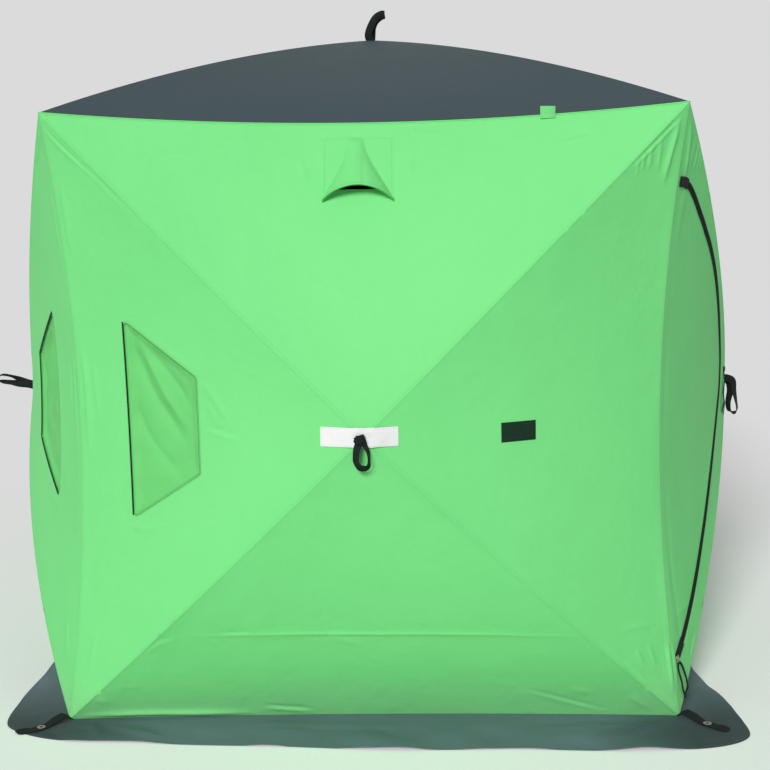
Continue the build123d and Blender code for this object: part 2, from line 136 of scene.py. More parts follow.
# Trim
STRIP_ALONG, STRIP_LENGTH, STRIP_WIDTH, STRIP_DEPTH = -0.012, 0.206, 0.052, 0.0012
STRIP_LIFT, STRIP_PUFF = 0.0021, 0.0045
STRIP_PUFF_LONG, PUFF_AT, PUFF_WIDTH = 1.6, 0.024, 0.016     # an oval ring round the hub
PATCH_MIDDLE, PATCH_SIZE, PATCH_DEPTH = on_wall(0.463, 0.502), (0.096, 0.054), 0.0018
PATCH_LIFT, PATCH_PLUSH, PLUSH_SIZE = 0.0019, 0.0009, 0.0035
TRIM_ROW = 0.003             # stitching in from the border of the strips and the patch
TAB_ALONG, TAB_WIDTH, TAB_DEPTH = 0.571 * CORNER_HALF, 0.042, 0.0014
TAB_LOOP = (                 # (up, out) from the eave seam
    (-0.010, 0.0010), (-0.002, 0.0030), (0.008, 0.0032), (0.017, 0.0034), (0.021, 0.0050),
    (0.017, 0.0066), (0.008, 0.0070), (-0.002, 0.0066), (-0.011, 0.0030))
PIPING_RADIUS, PIPING_LIFT = 0.0018, 0.0006
TIE_ENDS, TIE_WIDTH = (on_wall(-0.150, 0.520), on_wall(-0.205, 0.446)), 0.020
TIE_SPLIT, TIE_KEEPER, TIE_TAIL = 0.055, 0.014, 0.010
PULL_MIDDLE, PULL_LENGTH, PULL_WIDTH = on_wall(-0.948, 0.060), 0.130, 0.038
PULL_TAPE, PULL_LEAN = 0.0085, radians(3.0)
WEBBING, WEBBING_WIDTH = 0.0022, 0.025
CORNER_STRAP, STRAP_CHAMFER = (0.165, 0.032), 0.006
STRAP_RISE = (               # (along, up) of a corner strap, from the corner to its end
    (0.0, 0.010), (0.018, 0.021), (0.045, 0.016), (0.078, 0.0056), (0.112, 0.0056),
    (0.135, 0.0070), (0.165, 0.0050))
STRAP_TAIL_TURN = {"front": 0.0, "back": 0.0, "left": -0.026, "right": -0.026}
STRAP_CURL = 0.0025
STRAP_ROWS, STRAP_ROW_IN = (0.058, 0.080), 0.003             # its stitching
GROMMET_REACH, GROMMET_HOLE = 0.095, 0.0055

# What each sheet was cut from, and the share of that rectangle which was left
WALL_SEAMS = (0.020, 0.050)  # added to a panel's width and height
LEFT_BY_WINDOW, LEFT_BY_DOOR, LEAST_HEIGHT = 0.88, 0.42, 0.60
WINDOW_CUT, DOOR_CUT = ((0.22, 0.57), 0.75), ((0.62, 1.35), 0.60)
HOOD_CUT, SKIRT_CUT = ((0.24, 0.20), 0.80), ((0.22, 2.20), 0.87)

UP = np.array((0.0, 0.0, 1.0))
WALL_PLANES = {              # along the wall to the right as seen from outside, and outwards
    "front": (np.array((1.0, 0.0, 0.0)), np.array((0.0, -1.0, 0.0))),
    "right": (np.array((0.0, 1.0, 0.0)), np.array((1.0, 0.0, 0.0))),
    "back": (np.array((-1.0, 0.0, 0.0)), np.array((0.0, 1.0, 0.0))),
    "left": (np.array((0.0, -1.0, 0.0)), np.array((-1.0, 0.0, 0.0))),
}
SIDE_NAMES = {"front": ("left", "right"), "right": ("front", "back"),
              "back": ("right", "left"), "left": ("back", "front")}

# Camera, fitted to the photo's corners, hubs and seams
CAMERA_PLACE = (0.150, -4.735, 1.570)
CAMERA_YAW, CAMERA_PITCH, CAMERA_ROLL = radians(-1.480), radians(-8.540), radians(-0.910)
FOCAL_PIXELS, PHOTO_PIXELS, SENSOR = 1364.5, 770, 36.0


def make_camera():
    """The camera at the place and angle of the photo's."""
    ahead = Vector((sin(CAMERA_YAW) * cos(CAMERA_PITCH), cos(CAMERA_YAW) * cos(CAMERA_PITCH),
                    sin(CAMERA_PITCH)))
    level = Vector((cos(CAMERA_YAW), -sin(CAMERA_YAW), 0))
    upright = level.cross(ahead)
    right = level * cos(CAMERA_ROLL) + upright * sin(CAMERA_ROLL)
    top = upright * cos(CAMERA_ROLL) - level * sin(CAMERA_ROLL)
    data = bpy.data.cameras.new("camera")
    data.sensor_width = SENSOR
    data.lens = FOCAL_PIXELS / PHOTO_PIXELS * SENSOR
    camera = bpy.data.objects.new("camera", data)
    turned = Matrix((right, top, -ahead)).transposed().to_4x4()
    camera.matrix_world = Matrix.Translation(CAMERA_PLACE) @ turned
    bpy.context.scene.collection.objects.link(camera)
    bpy.context.scene.camera = camera


make_camera()


# Shader helpers
class Value:
    """A socket that Python's operators work on, by adding Math nodes."""

    def __init__(self, tree, socket):
        self.tree, self.socket = tree, socket

    def math(self, operation, *others):
        """A Math node whose first term is this value."""
        node = self.tree.nodes.new("ShaderNodeMath")
        node.operation = operation
        for slot, term in zip(node.inputs, (self, *others)):
            if isinstance(term, Value):
                self.tree.links.new(term.socket, slot)
            else:
                slot.default_value = term
        return Value(self.tree, node.outputs[0])

    def __add__(self, other):
        return self.math("ADD", other)

    def __sub__(self, other):
        return self.math("SUBTRACT", other)

    def __rsub__(self, other):
        return (self * -1.0) + other

    def __mul__(self, other):
        return self.math("MULTIPLY", other)


class Finish:
    """A material with one Principled shader and a method that adds any other node."""

    def __init__(self, name):
        self.material = bpy.data.materials.new(name)
        self.material.use_nodes = True
        self.tree = self.material.node_tree
        self.shader = self.tree.nodes["Principled BSDF"]

    def node(self, kind, settings=None, inputs=None, output=0):
        """Any node: its settings first, then the values or links of its sockets."""
        made = self.tree.nodes.new("ShaderNode" + kind)
        for key, value in (settings or {}).items():
            setattr(made, key, value)
        for key, value in (inputs or {}).items():
            if isinstance(value, Value):
                self.tree.links.new(value.socket, made.inputs[key])
            else:
                made.inputs[key].default_value = value
        return Value(self.tree, made.outputs[output])

    def set(self, **sockets):
        """Values or links of the shader's sockets; an underscore stands for a space."""
        for key, value in sockets.items():
            slot = self.shader.inputs[key.replace("_", " ")]
            if isinstance(value, Value):
                self.tree.links.new(value.socket, slot)
            else:
                slot.default_value = value

    def mix(self, first, second, share):
        """A colour between two colours."""
        first, second = (c if isinstance(c, Value) else (*c, 1.0) for c in (first, second))
        return self.node("Mix", {"data_type": "RGBA"}, {0: share, 6: first, 7: second}, 2)

    def cloth_place(self):
        """Where a point is on the flat cloth, in metres, and how far from a sewn edge."""
        return self.node("Attribute", {"attribute_name": "cloth"}, output=1)

    def object_place(self):
        """Where a point is on the object, in metres."""
        return self.node("TexCoord", output=3)

    def noise(self, place, scale, detail=2.0, roughness=0.5):
        """Soft random variation from 0 to 1, with its scale in patches to the metre."""
        return self.node("TexNoise", {}, {"Vector": place, "Scale": scale, "Detail": detail,
                                          "Roughness": roughness})

    def stretched(self, place, scale):
        """A place with its three axes scaled."""
        return self.node("VectorMath", {"operation": "MULTIPLY"}, {0: place, 1: scale})

    def parts(self, place):
        """A place's three numbers."""
        split = self.tree.nodes.new("ShaderNodeSeparateXYZ")
        self.tree.links.new(place.socket, split.inputs[0])
        return [Value(self.tree, socket) for socket in split.outputs]

    def bump(self, height, strength, distance, under=None):
        """Relief in the shading, on top of the relief under it."""
        inputs = {"Height": height, "Strength": strength, "Distance": distance}
        if under is not None:
            inputs["Normal"] = under
        return self.node("Bump", {}, inputs)


# Sizes in the finishes, in metres
WEAVE, SEAM_SHADE_WIDTH, DUST_HEIGHT = 0.0011, 0.006, 0.16
SEAM_ROW, STITCH, THREAD_WIDTH = 0.0055, 0.0050, 0.0006
RIB, WARP_ROW = 0.0022, 0.0016
SEAM_SHADE, DUST_SHARE, THREAD_TONE = 0.15, 0.35, 0.78
BROAD_PATCHES, FINE_PATCHES, CRUMPLES = 2.2, 38.0, 16.0      # of the coated cloth, to the metre
CORNER_SHADE = (0.66, 0.98)  # product of X and Y where the painted shade of the corners begins and is full


def coated_cloth(name, colour, shade, roughness=0.55, dust=None, corners=None):
    """A coated plain weave: its threads, faint creases, colour that varies a little, and painted
    shade at its seams and, if given, its corners.
    """
    finish = Finish(name)
    place = finish.cloth_place()
    along, up, edge = finish.parts(place)
    weave = (along * (tau / WEAVE)).math("SINE") * (up * (tau / WEAVE)).math("SINE")
    broad = finish.noise(place, BROAD_PATCHES, 3.0)
    fine = finish.noise(place, FINE_PATCHES, 4.0, 0.6)
    mottle = (broad * 0.7 + fine * 0.3 - 0.5) * 1.1 + 0.5
    base = finish.mix(shade, colour, mottle.math("MAXIMUM", 0.0).math("MINIMUM", 1.0))
    if dust is not None:
        low = finish.node("MapRange", {}, {"Value": finish.parts(finish.object_place())[2],
                                           "From Min": DUST_HEIGHT, "From Max": 0.0,
                                           "To Min": 0.0, "To Max": DUST_SHARE})
        base = finish.mix(base, dust, low * fine)
    # Painted shade: darker within SEAM_SHADE_WIDTH of a sewn edge
    seam = finish.node("MapRange", {}, {"Value": edge, "From Min": 0.0,
                                        "From Max": SEAM_SHADE_WIDTH,
                                        "To Min": SEAM_SHADE, "To Max": 0.0})
    base = finish.mix(base, shade, seam)
    # Painted shade, darker towards the corners where the skirt's flaps are less lit
    if corners is not None:
        x, y, _ = finish.parts(finish.object_place())
        reach = x.math("ABSOLUTE").math("MINIMUM", 1.0) * y.math("ABSOLUTE").math("MINIMUM", 1.0)
        near = finish.node("MapRange", {}, {"Value": reach + broad * 0.1,
                                            "From Min": CORNER_SHADE[0],
                                            "From Max": CORNER_SHADE[1],
                                            "To Min": 0.0, "To Max": 1.0})
        base = finish.mix(base, corners, near)
    run = finish.node("Attribute", {"attribute_name": "seam"}, output=2)
    row = (1.0 - (edge - SEAM_ROW).math("ABSOLUTE") * (1 / THREAD_WIDTH)).math("MAXIMUM", 0.0)
    dash = (run * (tau / STITCH)).math("SINE").math("GREATER_THAN", -0.35)
    thread_here = row * dash
    thread_colour = tuple(c * THREAD_TONE for c in colour)
    base = finish.mix(base, thread_colour, thread_here.math("MINIMUM", 0.8))
    finish.set(Base_Color=base, Roughness=fine * 0.12 + (roughness - 0.06),
               Specular_IOR_Level=0.12)
    crumple = finish.noise(finish.stretched(place, (1.0, 0.7, 1.0)), CRUMPLES, 5.0, 0.55)
    soft = finish.bump(crumple, 0.30, 0.006)
    sewn = finish.bump(thread_here, 0.8, 0.0008, soft)
    finish.set(Normal=finish.bump(weave, 0.25, 0.0003, sewn))
    return finish.material


def webbing(name, colour, shade, roughness=0.7):
    """Woven tape: ribs across it, rows of warp along it, and places where it is worn."""
    finish = Finish(name)
    place = finish.cloth_place()
    along, across, _ = finish.parts(place)
    ribs = (along * (tau / RIB)).math("SINE")
    rows = (across * (tau / WARP_ROW) + ribs * 0.8).math("SINE")
    worn = finish.noise(place, 90.0, 3.0, 0.6)
    finish.set(Base_Color=finish.mix(shade, colour, worn), Roughness=worn * 0.2 + (roughness - 0.1),
               Specular_IOR_Level=0.15)
    finish.set(Normal=finish.bump(rows * 0.6 + ribs * 0.4, 0.6, 0.0005))
    return finish.material


def moulded(name, colour, roughness=0.45, metallic=0.0):
    """Moulded plastic or plain metal with a fine grain and rubbed places."""
    finish = Finish(name)
    place = finish.object_place()
    grain = finish.noise(place, 900.0, 2.0)
    rubbed = finish.noise(place, 55.0, 4.0, 0.6)
    lighter = tuple(min(1.0, c * 1.6 + 0.01) for c in colour)
    finish.set(Base_Color=finish.mix(colour, lighter, rubbed * 0.6), Metallic=metallic,
               Roughness=rubbed * 0.25 + (roughness - 0.12))
    finish.set(Normal=finish.bump(grain, 0.2, 0.0004))
    return finish.material


# Each finish is named after the record's slot that it stands for
GREEN, DEEP_GREEN = (0.200, 0.735, 0.242), (0.158, 0.645, 0.200)
FINISHES = {
    "wall_fabric": coated_cloth("wall_cloth", GREEN, DEEP_GREEN, dust=(0.45, 0.62, 0.42)),
    "door_fabric": coated_cloth("door_cloth", GREEN, DEEP_GREEN),
    "window_fabric": coated_cloth("window_cloth", (0.160, 0.610, 0.180), (0.128, 0.535, 0.146)),
    "hood_fabric": coated_cloth("hood_cloth", GREEN, DEEP_GREEN),
    "roof_fabric": coated_cloth("roof_cloth", (0.054, 0.079, 0.087), (0.043, 0.065, 0.073),
                                roughness=0.6),
    # The skirt's corner colour is painted shade
    "skirt_fabric": coated_cloth("skirt_cloth", (0.140, 0.202, 0.222), (0.100, 0.156, 0.174),
                                 roughness=0.5, corners=(0.034, 0.056, 0.058)),
    "zip_tape": webbing("zip_tape", (0.010, 0.016, 0.012), (0.005, 0.008, 0.006)),
    "black_webbing": webbing("black_webbing", (0.012, 0.016, 0.015), (0.006, 0.008, 0.008)),
    "reflective_webbing": webbing("reflective_webbing", (0.86, 0.87, 0.86), (0.78, 0.79, 0.79),
                                  0.4),
    "hook_and_loop": webbing("hook_and_loop", (0.012, 0.040, 0.022), (0.007, 0.024, 0.013), 0.9),
    "tab_webbing": webbing("tab_webbing", (0.200, 0.720, 0.240), (0.160, 0.620, 0.200)),
    "rod": moulded("rod_glass_fibre", (0.020, 0.020, 0.021), 0.35),
    "hub": moulded("hub_plastic", (0.022, 0.022, 0.023)),
    "corner_fitting": moulded("fitting_plastic", (0.030, 0.030, 0.031)),
    "grommet": moulded("grommet_brass", (0.30, 0.28, 0.24), 0.40, 0.9),
}


# Meshes
def unit(vectors):
    """Vectors brought to length 1."""
    return vectors / np.linalg.norm(vectors, axis=-1, keepdims=True)


def place(wall, along, up, out):
    """Points given in a wall's own plane."""
    right, away = WALL_PLANES[wall]
    along, up, out = (np.asarray(x, float)[..., None] for x in (along, up, out))
    return along * right + up * UP + out * away


def smooth(x, low=0.0, high=1.0):
    """0 below low, 1 above high and a smooth step between."""
    t = np.clip((np.asarray(x, float) - low) / (high - low), 0.0, 1.0)
    return t * t * (3 - 2 * t)


SEARCH_START, SEARCH_STEPS, SEARCH_NUDGE = (0.6, 0.5), 14, 1e-4
SHARE_LIMITS = (0.02, 1.3)   # the search for a place on a panel stays between these shares


class Panel:
    """A panel of cloth between two bowed rods, from their hub to its free seam.

    share runs from the hub to the seam, and side from the first rod to the second."""

    def __init__(self, wall, kind):
        self.wall, self.kind = wall, kind
        corner = CORNER_HALF
        if kind == "roof":
            hub = UP * ROOF_HUB_HEIGHT
            ends = [place(wall, s * corner, EAVE_HEIGHT, corner) for s in (-1, 1)]
            bows = [UP * ROOF_BOW] * 2
            self.hub_pull = -UP
            pull, self.sag = (0, -EAVE_SEAM_DOWN, -EAVE_SEAM_IN), EAVE_SAG
        else:
            hub = place(wall, 0, WALL_HUB_HEIGHT[wall], WALL_HUB_OUT)
            rods, pull, self.sag = {
                "top": (((-1, 1), (1, 1)), (0, -EAVE_SEAM_DOWN, -EAVE_SEAM_IN), EAVE_SAG),
                "bottom": (((-1, 0), (1, 0)), (0, 0, -1), HEM_SAG),
                "left": (((-1, 1), (-1, 0)), (1, 0, -1), CORNER_SEAM_SAG),
                "right": (((1, 1), (1, 0)), (-1, 0, -1), CORNER_SEAM_SAG),
            }[kind]
            ends = [place(wall, side * corner, EAVE_HEIGHT if upper else HEM_HEIGHT, corner)
                    for side, upper in rods]
            bows = [place(wall, 0, 0, (UPPER_BOW if upper else LOWER_BOW)[wall])
                    for side, upper in rods]
            self.hub_pull = place(wall, 0, 0, -1)
        self.hub, self.ends, self.bows = hub, ends, bows
        self.seam_pull = unit(place(wall, *pull))
        self.width = np.linalg.norm(ends[1] - ends[0])
        self.height = np.linalg.norm((ends[0] + ends[1]) / 2 - hub)

    def ridge(self, which, share):
        """Points along the first or the second rod."""
        share = np.asarray(share, float)[..., None]
        return (self.hub * (1 - share) + self.ends[which] * share
                + 4 * share * (1 - share) * self.bows[which])

    def point(self, share, side):
        """Places on the panel's face."""
        start, end = self.ridge(0, share), self.ridge(1, share)
        across = unit(end - start)
        share, side = share[..., None], side[..., None]
        pull = self.hub_pull * (1 - share) + self.seam_pull * share
        pull = unit(pull - across * (pull * across).sum(-1, keepdims=True))
        sag = self.sag * np.abs(share) ** SAG_GROWTH
        return start + (end - start) * side + 4 * side * (1 - side) * sag * pull

    def normal(self, share, side, step=SEARCH_NUDGE):
        """The face's outward directions."""
        here = self.point(share, side)
        by_share = self.point(share + step, side) - here
        by_side = self.point(share, side + step) - here
        found = unit(np.cross(by_share, by_side))
        facing = found @ (self.hub - UP * EAVE_HEIGHT / 2 if self.kind != "roof" else UP)
        return found * np.sign(facing)[..., None]

    def flat(self, share, side):
        """Where a place is on the flat cloth, in metres."""
        return np.stack([(side - 0.5) * share * self.width, share * self.height], -1)

    def unflat(self, cloth):
        """The share and side of places on the flat cloth."""
        share = cloth[:, 1] / self.height
        return share, cloth[:, 0] / (share * self.width) + 0.5

    def find(self, seen):
        """The flat places of points given as (along, up) in the wall's plane."""
        seen = np.asarray(seen, float)
        right = WALL_PLANES[self.wall][0]
        share, side = (np.full(len(seen), start) for start in SEARCH_START)
        step = SEARCH_NUDGE

        def view(share, side):
            points = self.point(share, side)
            return np.stack([points @ right, points @ UP], 1)

        for _ in range(SEARCH_STEPS):
            here = view(share, side)
            by_share = (view(share + step, side) - here) / step
            by_side = (view(share, side + step) - here) / step
            miss = seen - here
            area = by_share[:, 0] * by_side[:, 1] - by_share[:, 1] * by_side[:, 0]
            area = np.where(np.abs(area) < 1e-9, 1e-9, area)
            share = share + (miss[:, 0] * by_side[:, 1] - miss[:, 1] * by_side[:, 0]) / area
            side = side + (by_share[:, 0] * miss[:, 1] - by_share[:, 1] * miss[:, 0]) / area
            share = np.clip(share, *SHARE_LIMITS)
        return self.flat(share, side)

    def outline(self, spacing):
        """The panel's edge on the flat cloth, anticlockwise from the hub."""
        steps = max(8, int(1.25 / spacing))
        shares = np.linspace(HUB_OPENING, 1, steps)
        sides = np.linspace(0, 1, int(self.width / spacing))
        first = self.flat(shares, np.zeros_like(shares))
        second = self.flat(shares, np.ones_like(shares))
        seam = self.flat(np.ones_like(sides), sides)
        return np.concatenate([second, seam[::-1][1:], first[::-1][1:]])

    def lift(self, cloth):
        """Places on the flat cloth, moved onto the panel, with normals there."""
        share, side = self.unflat(cloth)
        return self.point(share, side), self.normal(share, side)


def inside(points, loop):
    """Which points lie inside a closed loop."""
    x, y = points[:, 0, None], points[:, 1, None]
    after = np.roll(loop, -1, 0)
    crosses = (loop[:, 1] > y) != (after[:, 1] > y)
    rise = np.where(loop[:, 1] == after[:, 1], 1.0, after[:, 1] - loop[:, 1])
    at = loop[:, 0] + (y - loop[:, 1]) * (after[:, 0] - loop[:, 0]) / rise
    return ((x < at) & crosses).sum(1) % 2 == 1


def beside(points, path, closed=True):
    """Each point's distance from a path, the side it is on (-1 or 1) and the length up to it."""
    start = path if closed else path[:-1]
    run = (np.roll(path, -1, 0) if closed else path[1:]) - start
    size = np.linalg.norm(run, axis=1)
    nearest, side, place_on = np.full(len(points), 1e9), np.ones(len(points)), np.zeros(len(points))
    passed = 0.0
    for origin, way, length in zip(start, run, size):
        offset = points - origin
        share = np.clip(offset @ way / max(length**2, 1e-12), 0, 1)
        off = np.linalg.norm(offset - share[:, None] * way, axis=1)
        near = off < nearest
        nearest[near] = off[near]
        side[near] = np.sign(way[0] * offset[near, 1] - way[1] * offset[near, 0])
        place_on[near] = passed + share[near] * length
        passed += length
    return nearest, side, place_on


def distance(points, path, closed=True):
    """How far points are from a path."""
    return beside(points, path, closed)[0]


def run_lengths(path):
    """How far along a path each of its points is."""
    return np.concatenate([[0], np.cumsum(np.linalg.norm(np.diff(path, axis=0), axis=1))])


def read_along(rows, lengths, at):
    """Rows of numbers given at some lengths of a path, read at other lengths."""
    return np.stack([np.interp(at, lengths, column) for column in rows.T], 1)


def resample(path, spacing, closed=True):
    """A path's points, evenly spaced."""
    path = np.concatenate([path, path[:1]]) if closed else np.asarray(path, float)
    lengths = run_lengths(path)
    count = max(3, int(round(lengths[-1] / spacing)))
    even = read_along(path, lengths, np.linspace(0, lengths[-1], count + 1))
    return even[:-1] if closed else even


def rounded(corners, radius, steps=5):
    """A closed loop with its corners rounded."""
    loop = []
    corners = np.asarray(corners, float)
    for i, corner in enumerate(corners):
        before = unit(corners[i - 1] - corner)
        after = unit(corners[(i + 1) % len(corners)] - corner)
        half = np.arccos(np.clip(before @ after, -1, 1)) / 2
        reach = radius / np.tan(half)
        for t in np.linspace(0, 1, steps):
            loop.append(corner + reach * (before * (1 - t) ** 2 + after * t**2))
    return np.array(loop)


def arc(start, middle, end, count):
    """Points on the circle through three points of a plane."""
    a, b, c = (complex(*p) for p in (start, middle, end))
    w = (c - a) / (b - a)
    centre = (b - a) * (w - abs(w) ** 2) / (w - w.conjugate()) + a
    radius = abs(a - centre)
    first, last = np.angle(a - centre), np.angle(c - centre)
    middle_turn = (np.angle(b - centre) - first) % tau
    turn = (last - first) % tau
    turn = turn if middle_turn < turn else turn - tau
    angles = first + turn * np.linspace(0, 1, count)
    return np.stack([centre.real + radius * np.cos(angles),
                     centre.imag + radius * np.sin(angles)], 1)


def near_folds(points, folds, more=0.0):
    """Which points lie within reach of a fold, each a path with its reach."""
    near = np.zeros(len(points), bool)
    for path, reach in folds:
        reach = reach + more
        box = ((points > path.min(0) - reach) & (points < path.max(0) + reach)).all(1)
        index = np.flatnonzero(box & ~near)
        if len(index):
            near[index] = distance(points[index], path, False) < reach
    return near


def lattice_in(loops, spacing, folds=None):
    """Points of an even lattice inside the first loop and outside the others, or by the folds."""
    low, high = loops[0].min(0), loops[0].max(0)
    rows = np.arange(low[1], high[1], spacing * sqrt(3) / 2)
    columns = np.arange(low[0], high[0], spacing)
    x, y = np.meshgrid(columns, rows)
    x = x + (np.arange(len(rows)) % 2)[:, None] * spacing / 2
    lattice = np.stack([x.ravel(), y.ravel()], 1)
    if folds is not None:
        lattice = lattice[near_folds(lattice, folds)]
    keep = inside(lattice, loops[0])
    for hole in loops[1:]:
        keep &= ~inside(lattice, hole)
    return lattice[keep]


def triangulate(loops, spacing, folds=()):
    """Points and triangles that fill the first loop and leave the others open.

    They are closer together beside the folds, each a path with its reach."""
    lattice = lattice_in(loops, spacing)
    if folds:
        wide = near_folds(lattice, folds, spacing / 2)
        lattice = np.concatenate([lattice[~wide], lattice_in(loops, CREASED, folds)])
    clear = np.min([distance(lattice, loop) for loop in loops], 0)
    lattice = lattice[clear > 0.45 * (CREASED if folds else spacing)]
    points, edges = np.concatenate([*loops, lattice]), []
    first = 0
    for loop in loops:
        edges += [(first + i, first + (i + 1) % len(loop)) for i in range(len(loop))]
        first += len(loop)
    made = delaunay_2d_cdt([Vector(p) for p in points], edges, [], 0, 1e-7)
    points, triangles = np.array([tuple(p) for p in made[0]]), np.array(made[2])
    centres = points[triangles].mean(1)
    keep = inside(centres, loops[0])
    for hole in loops[1:]:
        keep &= ~inside(centres, hole)
    triangles = triangles[keep]
    a, b, c = points[triangles].transpose(1, 0, 2)
    area = (b - a)[:, 0] * (c - a)[:, 1] - (b - a)[:, 1] * (c - a)[:, 0]
    triangles = np.where(area[:, None] > 0, triangles, triangles[:, ::-1])
    triangles = triangles[np.abs(area) > 1e-9]
    used, triangles = np.unique(triangles, return_inverse=True)
    return points[used], triangles.reshape(-1, 3)


def vertex_normals(points, triangles):
    """Directions at the points, averaged over the triangles round them."""
    a, b, c = points[triangles].transpose(1, 0, 2)
    faces = np.cross(b - a, c - a)
    normals = np.zeros_like(points)
    for corner in range(3):
        np.add.at(normals, triangles[:, corner], faces)
    return unit(normals)


def rim_of(triangles):
    """The directed edges that only one triangle has."""
    edges = np.concatenate([triangles[:, [0, 1]], triangles[:, [1, 2]], triangles[:, [2, 0]]])
    pairs = {tuple(e) for e in edges.tolist()}
    return [(a, b) for a, b in pairs if (b, a) not in pairs]


def new_piece(name, points, faces, cloth, slot, body, replaces=(), rim=(), seam=None):
    """A mesh object that rides on a body, with its places on the flat cloth."""
    mesh = bpy.data.meshes.new(name)
    mesh.from_pydata(np.asarray(points).tolist(), [], faces)
    mesh.attributes.new("cloth", "FLOAT_VECTOR", "POINT").data.foreach_set(
        "vector", np.asarray(cloth, np.float32).ravel())
    if seam is not None:
        mesh.attributes.new("seam", "FLOAT", "POINT").data.foreach_set(
            "value", np.asarray(seam, np.float32))
    mesh.shade_smooth()
    if len(rim):
        on_rim = np.zeros(len(points), bool)
        on_rim[list(rim)] = True
        ends = np.zeros(len(mesh.edges) * 2, int)
        mesh.edges.foreach_get("vertices", ends)
        ends = ends.reshape(-1, 2)
        mesh.attributes.new("sharp_edge", "BOOLEAN", "EDGE").data.foreach_set(
            "value", on_rim[ends].all(1))
    mesh.materials.append(FINISHES[slot])
    piece = bpy.data.objects.new(name, mesh)
    bpy.context.scene.collection.objects.link(piece)
    if body:
        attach(piece, body)
    if replaces:
        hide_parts(*replaces)
    return piece


def thick_cloth(name, points, triangles, cloth, slot, body, replaces=(), thickness=CLOTH,
                seam=None):
    """A closed skin of cloth whose outer face is the triangles given."""
    normals = vertex_normals(points, triangles)
    count = len(points)
    both = np.concatenate([points, points - normals * thickness])
    rim = rim_of(triangles)
    faces = triangles.tolist() + (triangles[:, ::-1] + count).tolist()
    faces += [(b, a, a + count, b + count) for a, b in rim]
    on_rim = {v for pair in rim for v in pair}
    on_rim |= {v + count for v in on_rim}
    if seam is not None:
        seam = np.concatenate([seam] * 2)
    return new_piece(name, both, faces, np.concatenate([cloth] * 2), slot, body, replaces, on_rim,
                     seam)


def grid_triangles(rows, columns):
    """Triangles between the points of a grid."""
    index = np.arange(rows * columns).reshape(rows, columns)
    a, b, c, d = index[:-1, :-1], index[1:, :-1], index[1:, 1:], index[:-1, 1:]
    return np.concatenate([np.stack([a, b, c], -1).reshape(-1, 3),
                           np.stack([a, c, d], -1).reshape(-1, 3)])


def band(name, path, profile, slot, body, replaces=(), normals=None, across=None, closed=False,
         swell=None):
    """A profile of (across, out) points carried along a path.

    Its sides follow the normals of a face or, for free webbing, the across directions."""
    path, profile = np.asarray(path, float), np.asarray(profile, float)
    ways = np.gradient(path, axis=0)
    if closed:
        ways = np.roll(path, -1, 0) - np.roll(path, 1, 0)
    ways = unit(ways)
    if across is None:
        across = unit(np.cross(ways, normals))
    else:
        across = unit(across - (across * ways).sum(-1, keepdims=True) * ways)
    outward = unit(np.cross(across, ways))
    rings, size = len(path), len(profile)
    swell = np.ones(rings) if swell is None else swell
    shape = profile[None] * swell[:, None, None]
    points = path[:, None] + across[:, None] * shape[..., :1] + outward[:, None] * shape[..., 1:]
    lengths = np.broadcast_to(run_lengths(path)[:, None], (rings, size))
    offsets = np.broadcast_to(profile[None, :, 0], (rings, size))
    edge = np.abs(profile[:, 0]).max() - np.abs(offsets)
    cloth = np.stack([lengths, offsets, edge], -1).reshape(-1, 3)
    faces = []
    for ring in range(rings if closed else rings - 1):
        after = (ring + 1) % rings
        for i in range(size):
            j = (i + 1) % size
            faces.append((ring * size + i, ring * size + j, after * size + j, after * size + i))
    if not closed:
        faces.append(tuple(range(size))[::-1])
        faces.append(tuple((rings - 1) * size + i for i in range(size)))
    points = points.reshape(-1, 3)
    a, b, c = (points[faces[0][i]] for i in range(3))
    if np.cross(b - a, c - a) @ ((a + b) / 2 - points[:size].mean(0)) < 0:
        faces = [face[::-1] for face in faces]
    return new_piece(name, points, faces, cloth, slot, body, replaces, seam=lengths.ravel())


def flat_profile(width, thickness, lift=0.0, bevel=0.3):
    """A tape's section: width across, thickness out, with eased edges."""
    w, t = width / 2, thickness
    b = thickness * bevel
    return [(-w, lift + b), (-w + b, lift), (w - b, lift), (w, lift + b),
            (w, lift + t - b), (w - b, lift + t), (-w + b, lift + t), (-w, lift + t - b)]


def round_profile(radius, count=8):
    """A cord's section."""
    angles = np.linspace(0, tau, count, endpoint=False)
    return np.stack([radius * np.cos(angles), radius * np.sin(angles)], 1)


def spline(knots, spacing, closed=False):
    """A smooth curve through rows of numbers whose first three are a place."""
    knots = np.asarray(knots, float)
    if closed:
        knots = np.concatenate([knots[-1:], knots, knots[:2]])
    else:
        knots = np.concatenate([2 * knots[:1] - knots[1:2], knots, 2 * knots[-1:] - knots[-2:-1]])
    t = np.linspace(0, 1, 16, endpoint=False)[:, None]
    runs = []
    for p0, p1, p2, p3 in zip(knots, knots[1:], knots[2:], knots[3:]):
        runs.append(0.5 * (2 * p1 + (p2 - p0) * t + (2 * p0 - 5 * p1 + 4 * p2 - p3) * t**2
                           + (3 * p1 - p0 - 3 * p2 + p3) * t**3))
    if not closed:
        runs.append(knots[-2:-1])
    path = np.concatenate(runs)
    looped = np.concatenate([path, path[:1]]) if closed else path
    lengths = run_lengths(looped[:, :3])
    count = max(3, int(lengths[-1] / spacing))
    even = read_along(looped, lengths, np.linspace(0, lengths[-1], count + 1))
    return even[:-1] if closed else even


